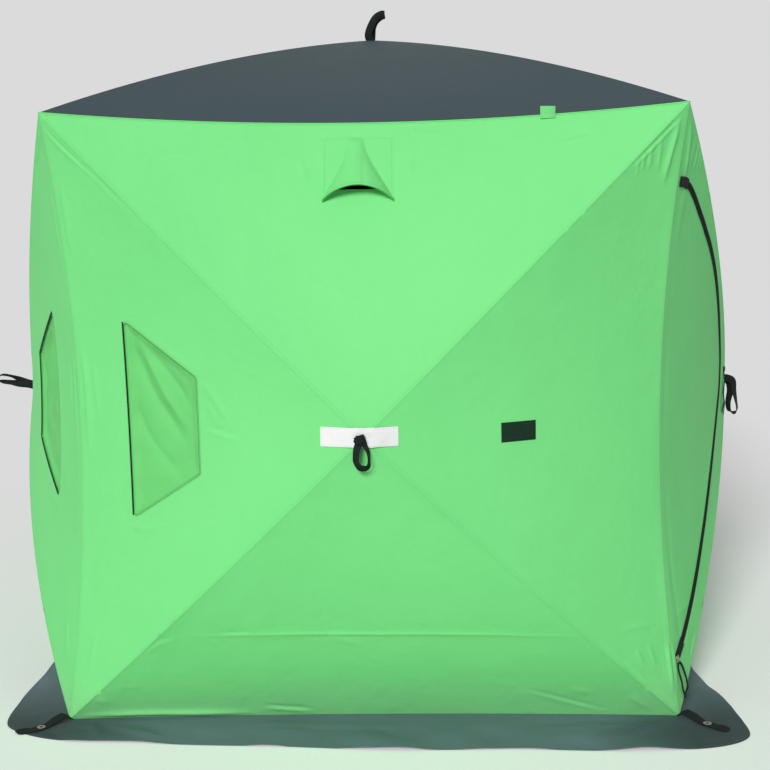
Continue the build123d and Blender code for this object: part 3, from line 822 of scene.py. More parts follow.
def stitches(name, runs, slot, body, spacing=0.0045, length=0.0030, radius=0.00045):
    """A row of short raised threads along each run of (path, normals)."""
    points, faces = [], []
    for path, normals in runs:
        path, normals = np.asarray(path, float), np.asarray(normals, float)
        lengths = run_lengths(path)
        at = np.arange(spacing / 2, lengths[-1], spacing)
        middles = read_along(path, lengths, at)
        ahead = read_along(path, lengths, at + 1e-4)
        up = unit(read_along(normals, lengths, at))
        ways = unit(ahead - middles + 1e-12)
        sides = unit(np.cross(ways, up))
        for middle, way, side, out in zip(middles, ways, sides, up):
            first = len(points)
            points.append(middle - way * length / 2)
            for share in (-0.3, 0.3):
                for a, b in ((1, 0), (0, 1), (-1, 0), (0, -0.5)):
                    points.append(middle + way * length * share + (side * a + out * b) * radius)
            points.append(middle + way * length / 2)
            for i in range(4):
                j = (i + 1) % 4
                faces.append((first, first + 1 + j, first + 1 + i))
                faces.append((first + 1 + i, first + 1 + j, first + 5 + j, first + 5 + i))
                faces.append((first + 9, first + 5 + i, first + 5 + j))
    points = np.array(points)
    return new_piece(name, points, faces, points, slot, body)


# Folds and creases of the cloth, as (kind, path, width, height). The path is (along, up) in the
# wall's plane, and a pleat is a groove with a ridge beside it.
RIDGE, PLEAT = "ridge", "pleat"
FOLDS = {
    "left": [
        (PLEAT, ((-0.896, 1.738), (-0.843, 1.682), (-0.730, 1.582)), 0.005, 0.0036),
        (PLEAT, ((-0.770, 1.622), (-0.640, 1.496)), 0.008, 0.0014),
        (RIDGE, ((-0.850, 1.610), (-0.838, 1.440), (-0.822, 1.330)), 0.011, 0.0034),
        (RIDGE, ((-0.822, 1.140), (-0.812, 0.960), (-0.815, 0.760)), 0.010, 0.0042),
        (RIDGE, ((-0.784, 1.080), (-0.775, 0.880)), 0.008, 0.0030),
        (RIDGE, ((-0.845, 1.060), (-0.842, 0.880)), 0.008, 0.0028),
        (RIDGE, ((-0.449, 1.042), (-0.405, 0.975), (-0.360, 0.914)), 0.012, 0.0030),
        (RIDGE, ((-0.440, 0.985), (-0.395, 0.910)), 0.010, 0.0022),
        (PLEAT, ((-0.445, 0.905), (-0.330, 0.880)), 0.010, 0.0020),
        (RIDGE, ((-0.690, 0.610), (-0.640, 0.600), (-0.560, 0.625)), 0.009, 0.0022),
        (RIDGE, ((-0.800, 0.300), (-0.835, 0.140)), 0.010, 0.0026),
    ],
    "right": [
        (PLEAT, ((0.886, 1.738), (0.720, 1.580)), 0.005, 0.0044),
        (RIDGE, ((0.874, 1.735), (0.856, 1.665), (0.841, 1.606), (0.828, 1.530)), 0.009, 0.0080),
        (RIDGE, ((0.817, 1.680), (0.815, 1.630), (0.812, 1.575)), 0.0060, 0.0036),
        (RIDGE, ((0.790, 1.660), (0.788, 1.620), (0.785, 1.578)), 0.0055, 0.0034),
        (RIDGE, ((0.770, 1.640), (0.767, 1.610), (0.764, 1.575)), 0.0050, 0.0030),
        (RIDGE, ((0.752, 1.618), (0.749, 1.570)), 0.0045, 0.0026),
        (RIDGE, ((0.700, 0.290), (0.800, 0.284), (0.848, 0.278)), 0.006, 0.0020),
        (RIDGE, ((0.864, 0.235), (0.872, 0.150), (0.882, 0.060)), 0.008, 0.0050),
        (RIDGE, ((0.800, 0.240), (0.828, 0.150)), 0.006, 0.0022),
        (RIDGE, ((0.760, 0.232), (0.790, 0.168)), 0.006, 0.0018),
        (PLEAT, ((0.720, 0.200), (0.790, 0.130)), 0.009, 0.0024),
    ],
    "top": [
        (RIDGE, ((-0.640, 1.600), (-0.560, 1.640), (-0.430, 1.668)), 0.012, 0.0020),
        (RIDGE, ((0.120, 1.700), (0.260, 1.690)), 0.010, 0.0018),
        (PLEAT, ((0.640, 1.690), (0.520, 1.660)), 0.010, 0.0022),
        (RIDGE, ((-0.175, 1.640), (-0.155, 1.560)), 0.008, 0.0020),
        (RIDGE, ((0.135, 1.650), (0.125, 1.560)), 0.008, 0.0018),
    ],
    "bottom": [
        (RIDGE, ((-0.570, 0.301), (-0.200, 0.304), (0.300, 0.300), (0.690, 0.290)), 0.005, 0.0030),
        (PLEAT, ((-0.650, 0.240), (-0.600, 0.282), (-0.540, 0.300)), 0.010, 0.0014),
        (PLEAT, ((-0.425, 0.310), (-0.320, 0.311)), 0.006, 0.0014),
        (RIDGE, ((-0.130, 0.296), (-0.010, 0.262)), 0.012, 0.0012),
        (RIDGE, ((-0.885, 0.012), (-0.700, 0.022), (-0.500, 0.018), (-0.300, 0.014)),
         0.010, 0.0085),
        (PLEAT, ((-0.330, 0.040), (-0.160, 0.020)), 0.009, 0.0034),
        (PLEAT, ((0.430, 0.105), (0.560, 0.060), (0.710, 0.012)), 0.009, 0.0018),
        (RIDGE, ((0.560, 0.105), (0.660, 0.085)), 0.010, 0.0014),
        (RIDGE, ((0.740, 0.080), (0.815, 0.026)), 0.010, 0.0018),
        (RIDGE, ((-0.820, 0.080), (-0.760, 0.062)), 0.010, 0.0014),
        (RIDGE, ((-0.740, 0.120), (-0.660, 0.125)), 0.010, 0.0010),
    ],
    "roof": [],
}
MIRRORED = {"left": "right", "right": "left"}


def billow(places, seed, size, stretch=1.0):
    """Broad soft unevenness, from -1 to 1."""
    return np.array([noise.noise((x / size * stretch, y / size, seed)) for x, y in places])


PANELS = {(wall, kind): Panel(wall, kind)
          for wall in WALL_PLANES for kind in ("top", "bottom", "left", "right", "roof")}


@lru_cache(maxsize=None)
def folds_of(panel):
    """The folds of a panel on its flat cloth; the side walls mirror the front."""
    mirrored = panel.wall in ("left", "right")
    kind = MIRRORED.get(panel.kind, panel.kind) if mirrored else panel.kind
    found = []
    for sort, path, width, height in FOLDS[kind]:
        path = np.array(path)
        if mirrored:
            path = path * (-1, 1)
            height = height * (0.75 if sort == RIDGE else -0.75)
        path = spline(np.column_stack([path, np.zeros(len(path))]), 0.02)[:, :2]
        found.append((sort, panel.find(path), width, height))
    return found


def fold_relief(cloth, folds):
    """How far the folds stand out at places on the flat cloth; each fades out at its ends."""
    out = np.zeros(len(cloth))
    for sort, path, width, height in folds:
        box = ((cloth > path.min(0) - 4 * width) & (cloth < path.max(0) + 4 * width)).all(1)
        index = np.flatnonzero(box)
        if not len(index):
            continue
        off, side, along = beside(cloth[index], path, False)
        length = np.linalg.norm(np.diff(path, axis=0), axis=1).sum()
        fade = smooth(along / length, 0, 0.3) * smooth(along / length, 1, 0.6)
        reach = off / width
        if sort == RIDGE:
            out[index] += height * fade * np.exp(-np.abs(reach) ** 1.5)
        else:
            out[index] += 1.6 * height * fade * side * reach * np.exp(-reach**2)
    return out


# Unevenness of a stretched panel, as the height and size of its waves, and how far from its seams
# each kind is pinned or reaches
BROAD_WAVES, SMALL_WAVES, SEAM_PUCKERS = (0.0035, 0.34), (0.0009, 0.10), (0.0012, 0.055)
PUCKER_REACH, WAVES_PINNED, FOLDS_PINNED = 0.05, 0.03, 0.007
PUCKERS_UPRIGHT, PUCKERS_LEVEL = 0.35, 2.6


def relief(panel, cloth, sewn):
    """How far the cloth stands out from the CAD's smooth face; its seams pin it."""
    seed = list(WALL_PLANES).index(panel.wall) * 7.3 + len(panel.kind)
    out = (BROAD_WAVES[0] * billow(cloth, seed, BROAD_WAVES[1])
           + SMALL_WAVES[0] * billow(cloth, seed + 3, SMALL_WAVES[1]))
    stretch = PUCKERS_UPRIGHT if panel.kind in MIRRORED else PUCKERS_LEVEL
    pull = billow(cloth, seed + 9, SEAM_PUCKERS[1], stretch)
    edge = np.exp(-sewn / PUCKER_REACH)
    out = (out + SEAM_PUCKERS[0] * pull * edge) * smooth(sewn, 0, WAVES_PINNED)
    return out + fold_relief(cloth, folds_of(panel)) * smooth(sewn, 0, FOLDS_PINNED)


OPENING_POINTS, ARC_POINTS = 0.010, 90   # spacing round an opening, and points of a door arc


def window_loop(wall, kind):
    """A window's outline on the flat cloth of its panel."""
    corners = WINDOW if kind == "left" else WINDOW[::-1] * (-1, 1)
    return PANELS[wall, kind].find(resample(rounded(corners, WINDOW_RADIUS), OPENING_POINTS))


def door_line(grow, spacing=OPENING_POINTS):
    """The zip's line in the right wall's plane, moved outwards from the door by grow."""
    upper = arc(DOOR_TOP, DOOR_UPPER_MIDDLE, DOOR_APEX, ARC_POINTS)
    lower = arc(DOOR_APEX, DOOR_LOWER_MIDDLE, DOOR_BOTTOM, ARC_POINTS)
    line = np.concatenate([upper, lower[1:]])
    apex = np.array(DOOR_APEX)
    away = np.linalg.norm(line - apex, axis=1)
    near = away < DOOR_BEND
    start, end = np.argmax(near) - 1, len(near) - np.argmax(near[::-1])
    share = np.linspace(0, 1, 24)[:, None]
    bend = (line[start] * (1 - share) ** 2 + 2 * apex * share * (1 - share) + line[end] * share**2)
    line = resample(np.concatenate([line[:start], bend, line[end + 1:]]), spacing, closed=False)
    upper_part = line[:, 1] > DOOR_APEX[1]
    line[:, 1] += np.where(upper_part, np.interp(line[:, 0], *np.transpose(ZIP_TOP_RISE)),
                           np.interp(line[:, 0], *np.transpose(ZIP_BOTTOM_RISE)))
    ways = unit(np.gradient(line, axis=0))
    outward = np.stack([-ways[:, 1], ways[:, 0]], 1)
    return line + outward * grow


def door_loop(grow):
    """The door's cut on the flat cloth, from its zip to where its cloth joins the wall's."""
    line = door_line(grow)
    line = line[line[:, 0] > DOOR_EDGE]
    ends = [(DOOR_EDGE, line[0, 1]), (DOOR_EDGE, line[-1, 1])]
    edge = resample(np.array([ends[1], ends[0]]), 0.012, closed=False)
    loop = np.concatenate([line, edge])
    return PANELS["right", "left"].find(loop)


def vent_loop(wall):
    """The vent's hole on the flat cloth of the top panel."""
    (width, height), bottom = VENT_HOLE, VENT_BOTTOM + VENT_HOLE_UP[wall]
    corners = [(VENT_ALONG - width / 2, bottom), (VENT_ALONG + width / 2, bottom),
               (VENT_ALONG + width / 2, bottom + height), (VENT_ALONG - width / 2, bottom + height)]
    return PANELS[wall, "top"].find(resample(np.array(corners), OPENING_POINTS))


def cloth_piece(name, panel, loops, spacing, slot, body, replaces=(), relief_of=relief,
                folds=(), thickness=CLOTH):
    """Cloth cut to its loops on a panel, pushed out by its relief."""
    cloth, triangles = triangulate(loops, spacing, [(f[1], 2.4 * f[2]) for f in folds])
    points, normals = panel.lift(cloth)
    off = [beside(cloth, loop) for loop in loops]
    nearest = np.argmin([o[0] for o in off], 0)
    sewn = np.choose(nearest, [o[0] for o in off])
    seam = np.choose(nearest, [o[2] for o in off])
    points = points + normals * relief_of(panel, cloth, sewn)[:, None]
    if vertex_normals(points, triangles)[0] @ normals[0] < 0:
        triangles = triangles[:, ::-1]
    return thick_cloth(name, points, triangles, np.column_stack([cloth, sewn]), slot, body,
                       replaces, thickness, seam)


def declare(piece, cut, share, held="stretched"):
    """Multiplies the size of the rectangle that a piece was cut from by the share that was left,
    and keeps nothing.
    """
    cut[0] * cut[1] * share


def make_walls():
    """The wall and roof panels, with their openings cut out."""
    for (wall, kind), panel in PANELS.items():
        spacing = FINE if wall in SEEN_WALLS or kind == "roof" else COARSE
        loops, left = [panel.outline(spacing)], 1.0
        if kind == "roof":
            name, slot, node = f"roof_{wall}_cloth", "roof_fabric", f"roof_{wall}_panel"
        else:
            called = dict(zip(("left", "right"), SIDE_NAMES[wall])).get(kind, kind)
            name, slot = f"{wall}_wall_{called}_cloth", "wall_fabric"
            node = f"{wall}_wall_{called}_panel"
        if (wall, kind) in WINDOW_PANELS:
            loops.append(window_loop(wall, kind))
            left = LEFT_BY_WINDOW
        if (wall, kind) == ("right", "left"):
            loops.append(door_loop(ZIP_GAP))
            left = LEFT_BY_DOOR
        if kind == "top" and wall in ("front", "back"):
            loops.append(vent_loop(wall))
        piece = cloth_piece(name, panel, loops, spacing, slot, "shelter", (node,),
                            folds=folds_of(panel))
        tall = max(left, LEAST_HEIGHT)
        cut = panel.width + WALL_SEAMS[0], (panel.height + WALL_SEAMS[1]) * tall
        declare(piece, cut, 0.5 * left / tall)


make_walls()


# Ridges and hollows pulled across a window's pane: path in the wall's plane, width, height
PANE_FOLDS = (
    (((-0.672, 1.150), (-0.600, 0.985), (-0.480, 0.820)), 0.020, -0.010),
    (((-0.655, 1.165), (-0.560, 0.985), (-0.475, 0.860)), 0.014, 0.008),
    (((-0.630, 1.130), (-0.530, 1.020), (-0.470, 0.930)), 0.016, -0.007),
    (((-0.672, 0.980), (-0.610, 0.850), (-0.500, 0.745)), 0.018, -0.006))
PANE_POINTS = 0.008


def make_windows():
    """Soft panes, set back in their openings and pulled into folds from a corner."""
    for wall, kind in WINDOW_PANELS:
        panel = PANELS[wall, kind]
        mirror = (1, 1) if kind == "left" else (-1, 1)
        folds = []
        for path, width, height in PANE_FOLDS:
            path = spline([(*p, 0) for p in np.array(path) * mirror], 0.02)[:, :2]
            folds.append((RIDGE, panel.find(path), width, height))

        def pane_relief(panel, cloth, sewn, folds=folds):
            set_back = PANE_STEP + PANE_DEPTH * smooth(sewn, 0, 0.03)
            wavy = PANE_WAVES * billow(cloth, 5.0, 0.09, 1.6)
            return (fold_relief(cloth, folds) + wavy) * smooth(sewn, 0, 0.02) - set_back

        loop = window_loop(wall, kind)
        piece = cloth_piece(f"{wall}_window_cloth", panel, [loop], PANE_POINTS, "window_fabric",
                            "shelter", (f"{wall}_wall_window",), pane_relief, folds)
        declare(piece, *WINDOW_CUT)
        on_panel, normals = panel.lift(loop)
        band(f"{wall}_window_edge", on_panel - normals * PANE_EDGE_DEPTH,
             flat_profile(*PANE_EDGE), "window_fabric", "shelter", normals=normals, closed=True)
        # Dark tape at the left edge of a front or back window and along three edges of a side one:
        # painted shadow
        corners = WINDOW * mirror
        bound = corners[[3, 0]] if wall in ("front", "back") else corners[[0, 1, 2, 3]]
        path = resample(bound, PANE_POINTS, closed=False)[1:-1]
        on_panel, normals = panel.lift(panel.find(path))
        band(f"{wall}_window_shadow_tape", on_panel + normals * SHADOW_TAPE_LIFT,
             flat_profile(SHADOW_TAPE_WIDTH[wall], SHADOW_TAPE), "zip_tape", "shelter", normals=normals)


make_windows()


# Each half of the zip: its piece, node, edge and side of the zip's line, and the body it rides on
ZIP_HALVES = (("door_zip", "door_zip_tape", 0, -1, None),
              ("doorway_zip", "doorway_zip_tape", ZIP_GAP, 1, "shelter"))


def make_door():
    """The door's cloth with its half of the zip, and the doorway's half."""
    panel = PANELS["right", "left"]
    piece = cloth_piece("door_cloth", panel, [door_loop(-DOOR_CLEARANCE)], FINE, "door_fabric",
                        None, ("door_panel",), folds=folds_of(panel))
    declare(piece, *DOOR_CUT)
    middle = (DOOR_TOP[1] + DOOR_BOTTOM[1]) / 2
    hinge = panel.lift(panel.find([(HINGE_ALONG, middle)]))[0][0]
    fold_start = hinge + place("right", -DOOR_FOLD, 0, 0)
    fold_end = hinge + place("right", DOOR_FOLD, 0, 0)
    moving = [piece]
    for name, node, edge, sign, body in ZIP_HALVES:
        on_panel, normals = panel.lift(panel.find(door_line(edge + sign * ZIP_TAPE / 2)))
        tape = band(name, on_panel + normals * ZIP_TAPE_LIFT,
                    flat_profile(ZIP_TAPE, ZIP_TAPE_DEPTH), "zip_tape", body, (node,),
                    normals=normals)
        line = door_line(ZIP_GAP / 2 + sign * ZIP_COIL_OFF, 0.0022)
        on_panel, normals = panel.lift(panel.find(line))
        coil = band(name + "_coil", on_panel + normals * ZIP_COIL_LIFT,
                    round_profile(ZIP_COIL, 6), "zip_tape", body, normals=normals,
                    swell=np.where(np.arange(len(on_panel)) % 2, 0.8, 1.0))
        rows = []
        for shift in ZIP_ROWS:
            on_panel, normals = panel.lift(panel.find(door_line(edge + sign * shift, 0.006)))
            rows.append((on_panel + normals * ZIP_ROW_LIFT, normals))
        thread = stitches(name + "_stitching", rows, "zip_tape", body)
        if not body:
            moving += [tape, coil, thread]
    middle_line = door_line(ZIP_GAP / 2)
    fixed = middle_line[:, 0] < ZIP_STOP_END
    for name, upper in (("door_zip_top_stop", True), ("door_zip_bottom_stop", False)):
        ends = middle_line[fixed & ((middle_line[:, 1] > DOOR_APEX[1]) == upper)]
        on_panel, normals = panel.lift(panel.find(resample(ends, 0.004, closed=False)))
        band(name, on_panel + normals * ZIP_STOP_LIFT,
             flat_profile(ZIP_STOP_WIDTH, ZIP_STOP_DEPTH), "zip_tape", "shelter", normals=normals)
    for piece in moving:
        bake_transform(piece)


make_door()


# The blunt cloth over a hub: its height above the hub, slope and roundness, and where it gives way
BLUNT_RISE, BLUNT_SLOPE, BLUNT_ROUND, BLUNT_ENDS = 0.0015, 0.22, 0.010, (0.022, 0.040)


def surface(wall, along, up):
    """Points on a wall's outer face, with normals, at places in its plane.

    Each place is tried on all four panels, and the panel that it fits best is kept."""
    seen = np.column_stack([np.ravel(along), np.ravel(up)]).astype(float)
    points, normals = np.zeros((len(seen), 3)), np.zeros((len(seen), 3))
    best = np.full(len(seen), 1e9)
    for kind in ("top", "bottom", "left", "right"):
        panel = PANELS[wall, kind]
        share, side = panel.unflat(panel.find(seen))
        misfit = np.abs(side - 0.5) + 10 * (share < SHARE_LIMITS[0] + 0.0005)
        here, facing = panel.lift(panel.flat(share, side))
        better = misfit < best
        points[better], normals[better], best[better] = here[better], facing[better], misfit[better]
    off = seen - (0.0, WALL_HUB_HEIGHT[wall])
    far = smooth(np.hypot(*off.T), *BLUNT_ENDS)[:, None]
    fall = BLUNT_SLOPE * np.sqrt((off**4).sum(1) ** 0.5 + BLUNT_ROUND**2)
    blunt = WALL_HUB_OUT + BLUNT_RISE - fall
    points = points * far + place(wall, seen[:, 0], seen[:, 1], blunt) * (1 - far)
    return points, unit(normals * far + WALL_PLANES[wall][1] * (1 - far))


def make_vent_hoods():
    """A pleat of cloth that flares out from the wall and ends in an arched, open edge."""
    columns, rows = 49, 33
    across = np.linspace(-1, 1, columns)
    for wall in ("front", "back"):
        points = []
        for share in np.linspace(0, 1, rows):
            bottom = VENT_BOTTOM + VENT_ARCH * (1 - across**2) ** 0.8
            up = VENT_TOP + (bottom - VENT_TOP) * share
            on_wall_here, normals = surface(wall, VENT_ALONG + across * VENT_WIDTH / 2, up)
            width = VENT_NECK + (1 - VENT_NECK) * share**2.2
            flare = np.clip(np.abs(across + VENT_LEAN * (1 - share)) / width, 0, 1)
            swell = VENT_SWELL[0] * smooth(share, 0, 0.08) + VENT_SWELL[1] * share**1.5
            lift = VENT_RISE * swell * (1 - flare**2) ** 0.7
            off = (across - VENT_CREASE_ACROSS[0]) / VENT_CREASE_ACROSS[1]
            crease = VENT_CREASE * share * np.exp(-(off**2))
            away = WALL_PLANES[wall][1]
            points.append(on_wall_here + normals * CLOTH + away * (lift - crease)[:, None])
        points = np.array(points).reshape(-1, 3)
        triangles = grid_triangles(rows, columns)
        if vertex_normals(points, triangles)[len(points) // 2] @ WALL_PLANES[wall][1] < 0:
            triangles = triangles[:, ::-1]
        flat_x, flat_y = np.meshgrid(across * VENT_WIDTH / 2, np.linspace(0, 0.18, rows))
        cloth = np.column_stack([flat_x.ravel(), flat_y.ravel(),
                                 np.minimum(VENT_WIDTH / 2 - np.abs(flat_x), flat_y).ravel()])
        piece = thick_cloth(f"{wall}_vent_hood_cloth", points, triangles, cloth, "hood_fabric",
                            "shelter", (f"{wall}_vent_hood",), VENT_CLOTH,
                            seam=(flat_x + flat_y).ravel())
        declare(piece, *HOOD_CUT)
        rim = points[-columns:]
        normals = vertex_normals(points, triangles)[-columns:]
        band(f"{wall}_vent_hood_hem", rim + normals * 0.0002 + UP * VENT_HEM_UP,
             flat_profile(*VENT_HEM), "hood_fabric", "shelter", normals=normals)


make_vent_hoods()


def draped(name, wall, corners, spacing, height, slot, node, thickness):
    """A flat piece sewn on over the ridges of a wall, with its outline in the wall's plane."""
    loop = resample(np.array(corners, float), spacing)
    seen, triangles = triangulate([loop], spacing)
    points, normals = surface(wall, seen[:, 0], seen[:, 1])
    edge = distance(seen, loop)
    points = points + normals * height(seen, edge)[:, None]
    if vertex_normals(points, triangles)[0] @ WALL_PLANES[wall][1] < 0:
        triangles = triangles[:, ::-1]
    cloth = np.column_stack([seen, edge])
    return thick_cloth(name, points, triangles, cloth, slot, "shelter", node, thickness,
                       beside(seen, loop)[2])


def box_loop(middle, size, inset=0.0):
    """The corners of a rectangle in a wall's plane."""
    half = np.array(size) / 2 - inset
    return [np.array(middle) + half * way for way in ((-1, -1), (1, -1), (1, 1), (-1, 1))]


def sewn_round(name, wall, middle, size, inset, lift, slot):
    """Stitching along the border of a piece sewn to a wall."""
    loop = resample(np.array(box_loop(middle, size, inset)), 0.004)
    loop = np.concatenate([loop, loop[:1]])
    points, normals = surface(wall, loop[:, 0], loop[:, 1])
    stitches(name, [(points + normals * (lift(loop) + 0.0001)[:, None], normals)], slot, "shelter")


def strip_lift(wall):
    """How far a strip over a wall's hub stands off the cloth, so that it bends softly."""

    def lift(seen, edge=None):
        off = np.hypot(seen[:, 0] / STRIP_PUFF_LONG, seen[:, 1] - WALL_HUB_HEIGHT[wall])
        return STRIP_LIFT + STRIP_PUFF * np.exp(-(((off - PUFF_AT) / PUFF_WIDTH) ** 2))

    return lift


def make_trim():
    """Reflective strips over the hubs, the hook-and-loop patch and the roof's edge tab."""
    for wall in ("front", "back"):
        middle, size = (STRIP_ALONG, WALL_HUB_HEIGHT[wall]), (STRIP_LENGTH, STRIP_WIDTH)
        lift = strip_lift(wall)
        draped(f"{wall}_reflective_band", wall, box_loop(middle, size), 0.004, lift,
               "reflective_webbing", (f"{wall}_reflective_strip",), STRIP_DEPTH)
        sewn_round(f"{wall}_reflective_stitching", wall, middle, size, TRIM_ROW, lift,
                   "reflective_webbing")

    def patch_lift(seen, edge=None):
        if edge is None:
            return np.full(len(seen), PATCH_LIFT)
        plush = np.array([noise.noise((x / PLUSH_SIZE, y / PLUSH_SIZE, 1.0)) for x, y in seen])
        return PATCH_LIFT + PATCH_PLUSH * smooth(edge, 0.004, 0.007) * (1 + plush)

    draped("front_hook_pad", "front", box_loop(PATCH_MIDDLE, PATCH_SIZE), 0.002, patch_lift,
           "hook_and_loop", ("front_hook_patch",), PATCH_DEPTH)
    sewn_round("front_hook_stitching", "front", PATCH_MIDDLE, PATCH_SIZE, TRIM_ROW, patch_lift,
               "hook_and_loop")

    panel = PANELS["front", "top"]
    seam_height = EAVE_HEIGHT - EAVE_SEAM_DOWN * (1 - (TAB_ALONG / CORNER_HALF) ** 2)
    path = []
    for up, out in TAB_LOOP:
        points, normals = panel.lift(panel.find([(TAB_ALONG, seam_height + min(up, 0.0))]))
        path.append((*(points[0] + normals[0] * out + UP * max(up, 0.0)), 0))
    path = spline(path, 0.0015)[:, :3]
    across = np.broadcast_to(WALL_PLANES["front"][0], path.shape)
    band("roof_edge_loop", path, flat_profile(TAB_WIDTH, TAB_DEPTH, -TAB_DEPTH / 2),
         "tab_webbing", "shelter", ("roof_edge_tab",), across=across)


make_trim()


def make_eave_piping():
    """A thin cord of cloth in the seam between each wall and the roof."""
    for wall in WALL_PLANES:
        sides = np.linspace(0, 1, 140)
        panel = PANELS[wall, "top"]
        path = panel.point(np.ones_like(sides), sides)
        out = unit(WALL_PLANES[wall][1] + 0.9 * UP)
        band(f"{wall}_eave_piping", path + out * PIPING_LIFT, round_profile(PIPING_RADIUS),
             "wall_fabric", "shelter", normals=np.broadcast_to(out, path.shape))


make_eave_piping()


def free_strap(name, wall, origin, rows, width, replaces=(), closed=False):
    """Webbing along rows of (along, up, out) with the way its width points, in a wall's axes."""
    rows = spline(rows, 0.003, closed)
    path = origin + place(wall, rows[:, 0], rows[:, 1], rows[:, 2])
    across = place(wall, rows[:, 3], rows[:, 4], rows[:, 5])
    return band(name, path, flat_profile(width, WEBBING, -WEBBING / 2), "black_webbing", "shelter",
                replaces, across=across, closed=closed)


# Pull straps: rows of (along, up, out) and the way the webbing's width points
HUB_PULL = (
    (-0.008, -0.003, 0.004, 1.0, 0.0, 0.2), (-0.012, -0.012, 0.010, 0.9, 0.1, 0.5),
    (-0.018, -0.030, 0.015, 0.72, 0.05, 0.7), (-0.020, -0.048, 0.017, 0.67, 0.0, 0.74),
    (-0.0195, -0.062, 0.017, 0.6, 0.25, 0.75), (-0.010, -0.0765, 0.016, 0.3, 0.7, 0.65),
    (0.002, -0.079, 0.015, 0.0, 0.75, 0.66), (0.011, -0.074, 0.015, -0.2, 0.6, 0.8),
    (0.0142, -0.062, 0.016, -0.2, 0.2, 0.95), (0.014, -0.045, 0.017, -0.2, 0.0, 0.98),
    (0.010, -0.028, 0.016, -0.3, 0.0, 0.95), (0.000, -0.012, 0.012, -0.6, 0.0, 0.8),
    (-0.006, -0.003, 0.007, -1.0, 0.0, 0.2))
LEFT_PULL = (
    (0.000, 0.002, 0.002, 0.0, 1.0, 0.0), (-0.002, 0.008, 0.025, 0.1, 1.0, 0.0),
    (-0.004, 0.019, 0.052, 0.4, 0.9, 0.0), (-0.002, 0.031, 0.080, 0.9, 0.6, 0.0),
    (0.000, 0.037, 0.108, 1.0, 0.45, 0.0), (0.000, 0.031, 0.129, 1.0, 0.0, -0.5),
    (0.000, 0.020, 0.130, 1.0, 0.0, -0.5), (0.000, 0.013, 0.108, 1.0, -0.45, 0.0),
    (0.002, 0.010, 0.080, 0.9, -0.6, 0.0), (0.004, 0.006, 0.052, 0.4, -0.9, 0.0),
    (0.002, 0.003, 0.025, 0.1, -1.0, 0.0), (0.000, -0.003, 0.002, 0.0, -1.0, 0.0))
RIGHT_PULL = (
    (0.000, -0.004, 0.002, 0.0, 1.0, 0.2), (0.000, -0.006, 0.016, 0.1, 1.0, 0.5),
    (-0.003, -0.016, 0.031, 0.3, 0.5, 1.0), (-0.004, -0.050, 0.037, 0.8, 0.1, 0.9),
    (-0.001, -0.090, 0.046, 1.0, 0.0, 0.5), (0.000, -0.117, 0.049, 1.0, 0.0, 0.4),
    (0.000, -0.128, 0.037, 1.0, 0.3, 0.0), (0.000, -0.119, 0.022, 1.0, 0.0, -0.4),
    (0.001, -0.090, 0.018, 0.9, 0.0, -0.6), (0.004, -0.050, 0.025, 0.7, -0.1, -0.9),
    (0.005, -0.018, 0.020, 0.2, -0.7, -0.8), (0.001, -0.010, 0.002, 0.0, -1.0, -0.2))
ROOF_PULL = (               # (along, up, out) seen from the front, with out towards the front
    (-0.002, -0.002, 0.004, 1.0, 0.0, 0.1), (-0.009, 0.014, 0.006, 1.0, 0.2, 0.1),
    (-0.008, 0.030, 0.007, 1.0, -0.1, 0.2), (0.001, 0.052, 0.007, 0.9, -0.4, 0.1),
    (0.016, 0.076, 0.006, 0.7, -0.7, 0.0), (0.036, 0.088, 0.004, 0.3, -1.0, 0.0),
    (0.046, 0.086, -0.001, 0.2, -1.0, 0.0), (0.034, 0.083, -0.006, 0.3, -1.0, 0.0),
    (0.015, 0.068, -0.007, 0.7, -0.7, 0.0), (0.004, 0.045, -0.007, 0.9, -0.3, 0.0),
    (0.002, 0.022, -0.006, 1.0, 0.1, 0.0), (0.000, -0.002, -0.003, 1.0, 0.0, 0.0))


# The knot of a front or back pull strap: two turns of webbing, each with its tilt, up and out
KNOT_TURNS = ((0.35, -0.002, 0.0), (-0.5, -0.006, 0.0025))
KNOT_WEBBING, KNOT_ALONG, KNOT_OUT = 0.019, -0.009, 0.0125
KNOT_HALF_WIDTH, KNOT_SLANT, KNOT_HALF_DEPTH = 0.0125, 0.0135, 0.0085


def make_pull_straps():
    """The webbing loops on the five hubs, with a knot at the front and back ones."""
    for wall in ("front", "back"):
        hub = place(wall, 0, WALL_HUB_HEIGHT[wall], WALL_HUB_OUT)
        free_strap(f"{wall}_pull_loop", wall, hub, HUB_PULL, WEBBING_WIDTH, (f"{wall}_pull_strap",))
        for number, (tilt, up, out) in enumerate(KNOT_TURNS):
            angles = np.linspace(0, tau, 10, endpoint=False)
            wrap = [(KNOT_HALF_WIDTH * cos(a) + KNOT_ALONG, up + KNOT_SLANT * cos(a) * tilt,
                     KNOT_OUT + out + KNOT_HALF_DEPTH * sin(a), -tilt, 1.0, 0.0) for a in angles]
            free_strap(f"{wall}_pull_knot_{number + 1}", wall, hub, wrap, KNOT_WEBBING, closed=True)
    for wall, rows in (("left", LEFT_PULL), ("right", RIGHT_PULL)):
        hub = place(wall, 0, WALL_HUB_HEIGHT[wall], WALL_HUB_OUT - PLATE_DEPTH)
        free_strap(f"{wall}_pull_loop", wall, hub, rows, WEBBING_WIDTH, (f"{wall}_pull_strap",))
    top = UP * (ROOF_HUB_HEIGHT - PLATE_DEPTH)
    free_strap("roof_pull_loop", "front", top, ROOF_PULL, WEBBING_WIDTH, ("roof_pull_strap",))


make_pull_straps()


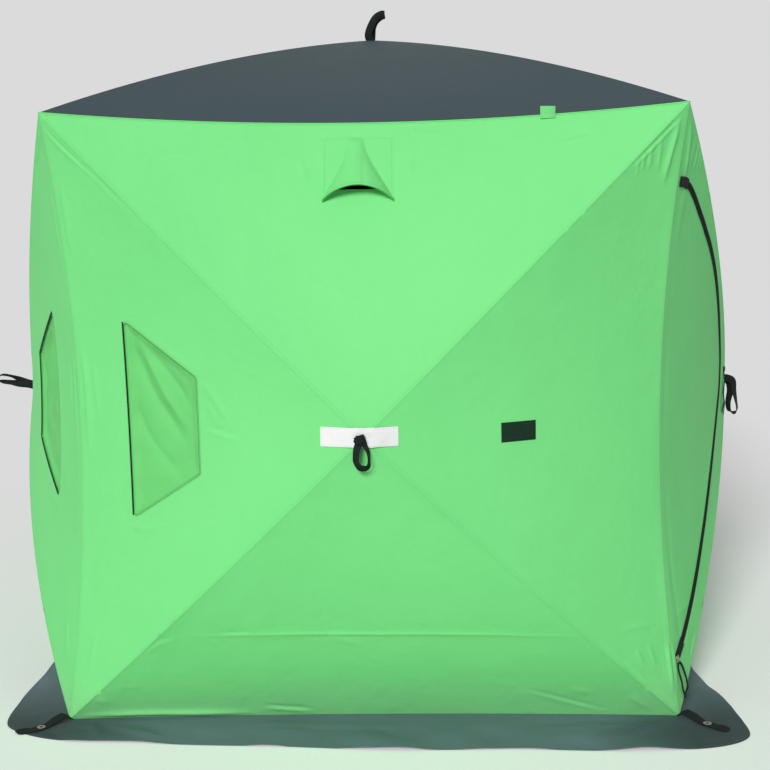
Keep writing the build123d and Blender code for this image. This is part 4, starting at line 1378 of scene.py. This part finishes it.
def surface_strap(name, wall, seen, width, lift, replaces=(), slot="black_webbing"):
    """Webbing that lies on a wall along places in its plane."""
    seen = spline([(*p, 0) for p in seen], 0.004)[:, :2]
    points, normals = surface(wall, seen[:, 0], seen[:, 1])
    lift = np.interp(np.linspace(0, 1, len(seen)), np.linspace(0, 1, len(lift)), lift)
    return band(name, points + normals * lift[:, None], flat_profile(width, WEBBING), slot,
                "shelter", replaces, normals=normals)


def make_door_webbing():
    """The strap that ties the rolled door, and the webbing pull of its zip."""
    start, end = np.array(TIE_ENDS)
    way = unit(end - start)
    side = np.array((-way[1], way[0]))
    split = end - way * TIE_SPLIT
    surface_strap("door_tie", "right", (start, (start + split) / 2, split), TIE_WIDTH,
                  (0.001, 0.006, 0.003), ("door_tie_strap",))
    ends = (start - side * TIE_KEEPER, start + side * TIE_KEEPER)
    surface_strap("door_tie_keeper", "right", ends, TIE_KEEPER, (0.0010, 0.0050, 0.0010))
    for number, bend in enumerate((-1, 1)):
        tail = (split - way * 0.006 + side * bend * 0.004,
                split + way * 0.020 + side * bend * 0.008,
                end + way * 0.012 + side * bend * 0.021)
        surface_strap(f"door_tie_tail_{number + 1}", "right", tail, TIE_TAIL, (0.003, 0.008, 0.003))

    middle = np.array(PULL_MIDDLE)
    down = np.array((sin(PULL_LEAN), -cos(PULL_LEAN)))
    right = np.array((cos(PULL_LEAN), sin(PULL_LEAN)))
    half, wide = PULL_LENGTH / 2, PULL_WIDTH / 2 - 0.003
    loop = [middle + right * a * wide + down * b * half for a, b in (
        (0.1, -0.70), (0.75, -0.45), (1.0, 0.1), (0.9, 0.65), (0.45, 0.94), (-0.35, 0.94),
        (-0.9, 0.60), (-0.95, 0.05), (-0.7, -0.45), (-0.1, -0.70))]
    surface_strap("door_zip_loop", "right", loop, PULL_TAPE, (0.003, 0.006, 0.0035, 0.009, 0.003),
                  ("door_zip_pull",))
    for name, rise, fall, width, lift in (("door_zip_slider", -0.98, -0.66, 0.016, 0.0030),
                                          ("door_zip_bridge", -0.92, -0.72, 0.007, 0.0052)):
        ends = (middle + down * half * rise, middle + down * half * fall)
        surface_strap(name, "right", ends, width, (lift, lift + 0.0012, lift), slot="grommet")


make_door_webbing()


def make_corner_straps():
    """Webbing from each wall corner over the skirt, with a hole for its grommet."""
    length, width = CORNER_STRAP
    for number, wall in enumerate(WALL_PLANES):
        right, away = WALL_PLANES[wall]
        along, side = unit(right + away), unit(right - away)
        half, cut = width / 2, STRAP_CHAMFER
        outline = [(0, -half), (length - cut, -half), (length, -half + cut),
                   (length, half - cut), (length - cut, half), (0, half)]
        loop = resample(np.array(outline), 0.006)
        turns = np.linspace(0, tau, 20, endpoint=False)
        hole = np.stack([GROMMET_REACH + GROMMET_HOLE * np.cos(turns),
                         GROMMET_HOLE * np.sin(turns)], 1)
        flat, triangles = triangulate([loop, hole], 0.005)
        rise = np.interp(flat[:, 0], *np.transpose(STRAP_RISE))
        curl = STRAP_CURL * np.sin(flat[:, 1] * 70 + number)
        rise = rise + curl * smooth(np.abs(flat[:, 0] - GROMMET_REACH), 0.02, 0.05)
        corner = (right + away) * CORNER_HALF
        tail = STRAP_TAIL_TURN[wall] * smooth(flat[:, :1], GROMMET_REACH + 0.012, length + 0.03)
        points = (corner + flat[:, :1] * along + (flat[:, 1:] + tail) * side
                  + rise[:, None] * UP)
        if vertex_normals(points, triangles)[0] @ UP < 0:
            triangles = triangles[:, ::-1]
        cloth = np.column_stack([flat, distance(flat, loop)])
        thick_cloth(f"corner_strap_{number + 1}", points, triangles, cloth, "black_webbing",
                    "shelter", ("corner_tie_straps",) if number == 0 else (), WEBBING)
        rows, reach = [], np.linspace(*STRAP_ROWS, 6)
        for shift in (STRAP_ROW_IN - half, half - STRAP_ROW_IN):
            path = corner + reach[:, None] * along + shift * side
            path[:, 2] = np.interp(reach, *np.transpose(STRAP_RISE))
            rows.append((path, np.broadcast_to(UP, path.shape)))
        stitches(f"corner_strap_stitching_{number + 1}", rows, "black_webbing", "shelter")


make_corner_straps()


# Skirt on the ground: half of its outer edge as (x, y), and the other half turned round
SKIRT_EDGE = np.array((
    (-1.078, -0.932), (-1.020, -0.996), (-0.905, -1.048), (-0.634, -1.074), (-0.204, -1.108),
    (0.355, -1.129), (0.740, -1.141), (0.962, -1.123), (1.066, -1.056), (1.075, -0.940),
    (1.058, -0.809), (1.031, -0.651), (1.015, -0.450), (1.040, 0.000), (1.070, 0.450),
    (1.090, 0.750)))
SKIRT_GRID = (18, 150)       # rows and columns of a flap
SKIRT_LIFT, SKIRT_WAVE, SKIRT_TUCK, SKIRT_DIP = 0.0022, 0.018, 0.018, 0.0015
SKIRT_CALM = (0.84, 0.90)    # the flaps lie flat beside the corner straps
SKIRT_WIDTH, SKIRT_REACH = 0.2, 1.1      # of its flat cloth: seam to edge, and out from the middle
# Folds of the front flap, as (kind, path on the ground, width, height)
SKIRT_FOLDS = [(sort, np.array(path), width, height) for sort, path, width, height in (
    (RIDGE, ((0.860, -0.930), (0.720, -1.040), (0.620, -1.110)), 0.018, 0.0110),
    (PLEAT, ((0.800, -0.940), (0.420, -0.985)), 0.016, 0.0050),
    (RIDGE, ((-0.840, -0.930), (-0.800, -0.990), (-0.780, -1.050)), 0.016, 0.0080),
    (RIDGE, ((-0.780, -0.950), (-0.640, -1.020), (-0.560, -1.070)), 0.016, 0.0060),
    (PLEAT, ((-0.400, -0.960), (0.200, -0.985)), 0.016, 0.0040))]


def skirt_radius(angles):
    """How far the skirt's edge is from the middle, at angles round the shelter."""
    edge = np.concatenate([SKIRT_EDGE, -SKIRT_EDGE])
    turns = np.arctan2(edge[:, 1], edge[:, 0])
    order = np.argsort(turns)
    turns, radii = turns[order], np.linalg.norm(edge, axis=1)[order]
    knots = np.concatenate([turns - tau, turns, turns + tau])
    values = np.tile(radii, 3)
    angles = (angles + pi) % tau - pi
    after = np.searchsorted(knots, angles)
    x0, x1, x2, x3 = (knots[after + i] for i in (-2, -1, 0, 1))
    y0, y1, y2, y3 = (values[after + i] for i in (-2, -1, 0, 1))
    t = (angles - x1) / (x2 - x1)
    m1, m2 = (y2 - y0) / (x2 - x0) * (x2 - x1), (y3 - y1) / (x3 - x1) * (x2 - x1)
    return ((2 * t**3 - 3 * t**2 + 1) * y1 + (t**3 - 2 * t**2 + t) * m1
            + (-2 * t**3 + 3 * t**2) * y2 + (t**3 - t**2) * m2)


def make_skirt():
    """The four flaps on the ground, from under the hem to the skirt's outer edge."""
    rows, columns = SKIRT_GRID
    for wall, (_, away) in WALL_PLANES.items():
        middle = np.arctan2(away[1], away[0])
        turn = np.linspace(-pi / 4, pi / 4, columns)
        slope = np.tan(turn)
        out = np.full(columns, CORNER_HALF)
        for _ in range(6):
            along = np.minimum(1, np.abs(out * slope) / CORNER_HALF)
            out = CORNER_HALF - HEM_SAG * (1 - along**2)
        hem = (out - SKIRT_TUCK) / np.cos(turn)
        edge = skirt_radius(middle + turn)
        share = np.linspace(0, 1, rows)[:, None]
        radius = hem * (1 - share) + edge * share
        x, y = radius * np.cos(middle + turn), radius * np.sin(middle + turn)
        wave = np.array([[noise.noise((a * 6, b * 6, 2.0)) for a, b in zip(r, s)]
                         for r, s in zip(x, y)])
        calm = 1 - smooth(np.minimum(np.abs(x), np.abs(y)), *SKIRT_CALM)
        z = SKIRT_LIFT + SKIRT_WAVE * np.clip(wave + 0.15, 0, 1) * smooth(share, 0.1, 0.8) * calm
        if wall in ("front", "back"):
            half_turn = 1 if wall == "front" else -1
            ground = np.stack([x.ravel(), y.ravel()], 1) * half_turn
            z = z + np.maximum(fold_relief(ground, SKIRT_FOLDS).reshape(z.shape), -SKIRT_DIP)
        points = np.stack([x, y, z], -1).reshape(-1, 3)
        sewn = np.broadcast_to(np.minimum(share, 1 - share) * SKIRT_WIDTH, radius.shape)
        cloth = np.stack([np.broadcast_to(turn * SKIRT_REACH, radius.shape), radius, sewn], -1)
        piece = thick_cloth(f"skirt_{wall}_cloth", points, grid_triangles(rows, columns),
                            cloth.reshape(-1, 3), "skirt_fabric", "shelter",
                            (f"skirt_{wall}_flap",))
        declare(piece, *SKIRT_CUT, held="laid")


make_skirt()


def finish_cad_nodes():
    """Better materials for the CAD nodes that still show."""
    slots = {part["node"]: part["material_slot"] for part in frame["record"]["subparts"]}
    for name, node in frame["nodes"].items():
        mesh = node.data
        mesh.materials.clear()
        mesh.materials.append(FINISHES[slots[name]])
        if not node.hide_render and "cloth" not in mesh.attributes:
            places = np.zeros(len(mesh.vertices) * 3, np.float32)
            mesh.vertices.foreach_get("co", places)
            mesh.attributes.new("cloth", "FLOAT_VECTOR", "POINT").data.foreach_set(
                "vector", places)


finish_cad_nodes()


# The floor as seen and as other surfaces see it, the even light from the world, and the key lamp
FLOOR, FLOOR_BOUNCE, FLOOR_SIZE = 0.97, 0.76, 60.0
WORLD_LIGHT = 0.28
KEY_FROM = Vector((-0.20, -0.80, 0.47)).normalized()
KEY_SOFTNESS, KEY_STRENGTH = radians(20.0), 2.85


def seen_directly(tree):
    """1 for rays from the camera and for those that metal and glass send on."""
    ray = tree.nodes.new("ShaderNodeLightPath")
    camera, glossy, passed = (Value(tree, ray.outputs[f"Is {kind} Ray"])
                              for kind in ("Camera", "Glossy", "Transmission"))
    return camera.math("MAXIMUM", glossy).math("MAXIMUM", passed)


def make_stage():
    """A plain pale floor, a pale world and one soft lamp."""
    floor = Finish("pale_floor")
    colours = ((FLOOR_BOUNCE,) * 3, (FLOOR,) * 3)
    floor.set(Base_Color=floor.mix(*colours, seen_directly(floor.tree)), Roughness=0.9,
              Specular_IOR_Level=0.0)
    mesh = bpy.data.meshes.new("floor")
    size = FLOOR_SIZE
    mesh.from_pydata([(-size, -size, 0), (size, -size, 0), (size, size, 0), (-size, size, 0)], [],
                     [(0, 1, 2, 3)])
    mesh.materials.append(floor.material)
    ground = bpy.data.objects.new("floor", mesh)
    bpy.context.scene.collection.objects.link(ground)

    world = bpy.data.worlds.new("studio")
    bpy.context.scene.world = world
    world.use_nodes = True
    tree = world.node_tree
    light = tree.nodes["Background"]
    light.inputs["Color"].default_value = (WORLD_LIGHT, WORLD_LIGHT, WORLD_LIGHT, 1.0)
    light.inputs["Strength"].default_value = 1.0
    shown = tree.nodes.new("ShaderNodeBackground")
    far_floor = FLOOR * (WORLD_LIGHT + KEY_STRENGTH * KEY_FROM.z / pi)
    shown.inputs["Color"].default_value = (far_floor, far_floor, far_floor, 1.0)
    shown.inputs["Strength"].default_value = 1.0
    mixed = tree.nodes.new("ShaderNodeMixShader")
    tree.links.new(seen_directly(tree).socket, mixed.inputs[0])
    tree.links.new(light.outputs[0], mixed.inputs[1])
    tree.links.new(shown.outputs[0], mixed.inputs[2])
    tree.links.new(mixed.outputs[0], tree.nodes["World Output"].inputs["Surface"])

    data = bpy.data.lights.new("key", "SUN")
    data.angle, data.energy = KEY_SOFTNESS, KEY_STRENGTH
    lamp = bpy.data.objects.new("key", data)
    lamp.rotation_euler = (-KEY_FROM).to_track_quat("-Z", "Y").to_euler()
    bpy.context.scene.collection.objects.link(lamp)


make_stage()
bpy.context.scene.view_settings.view_transform = "Standard"
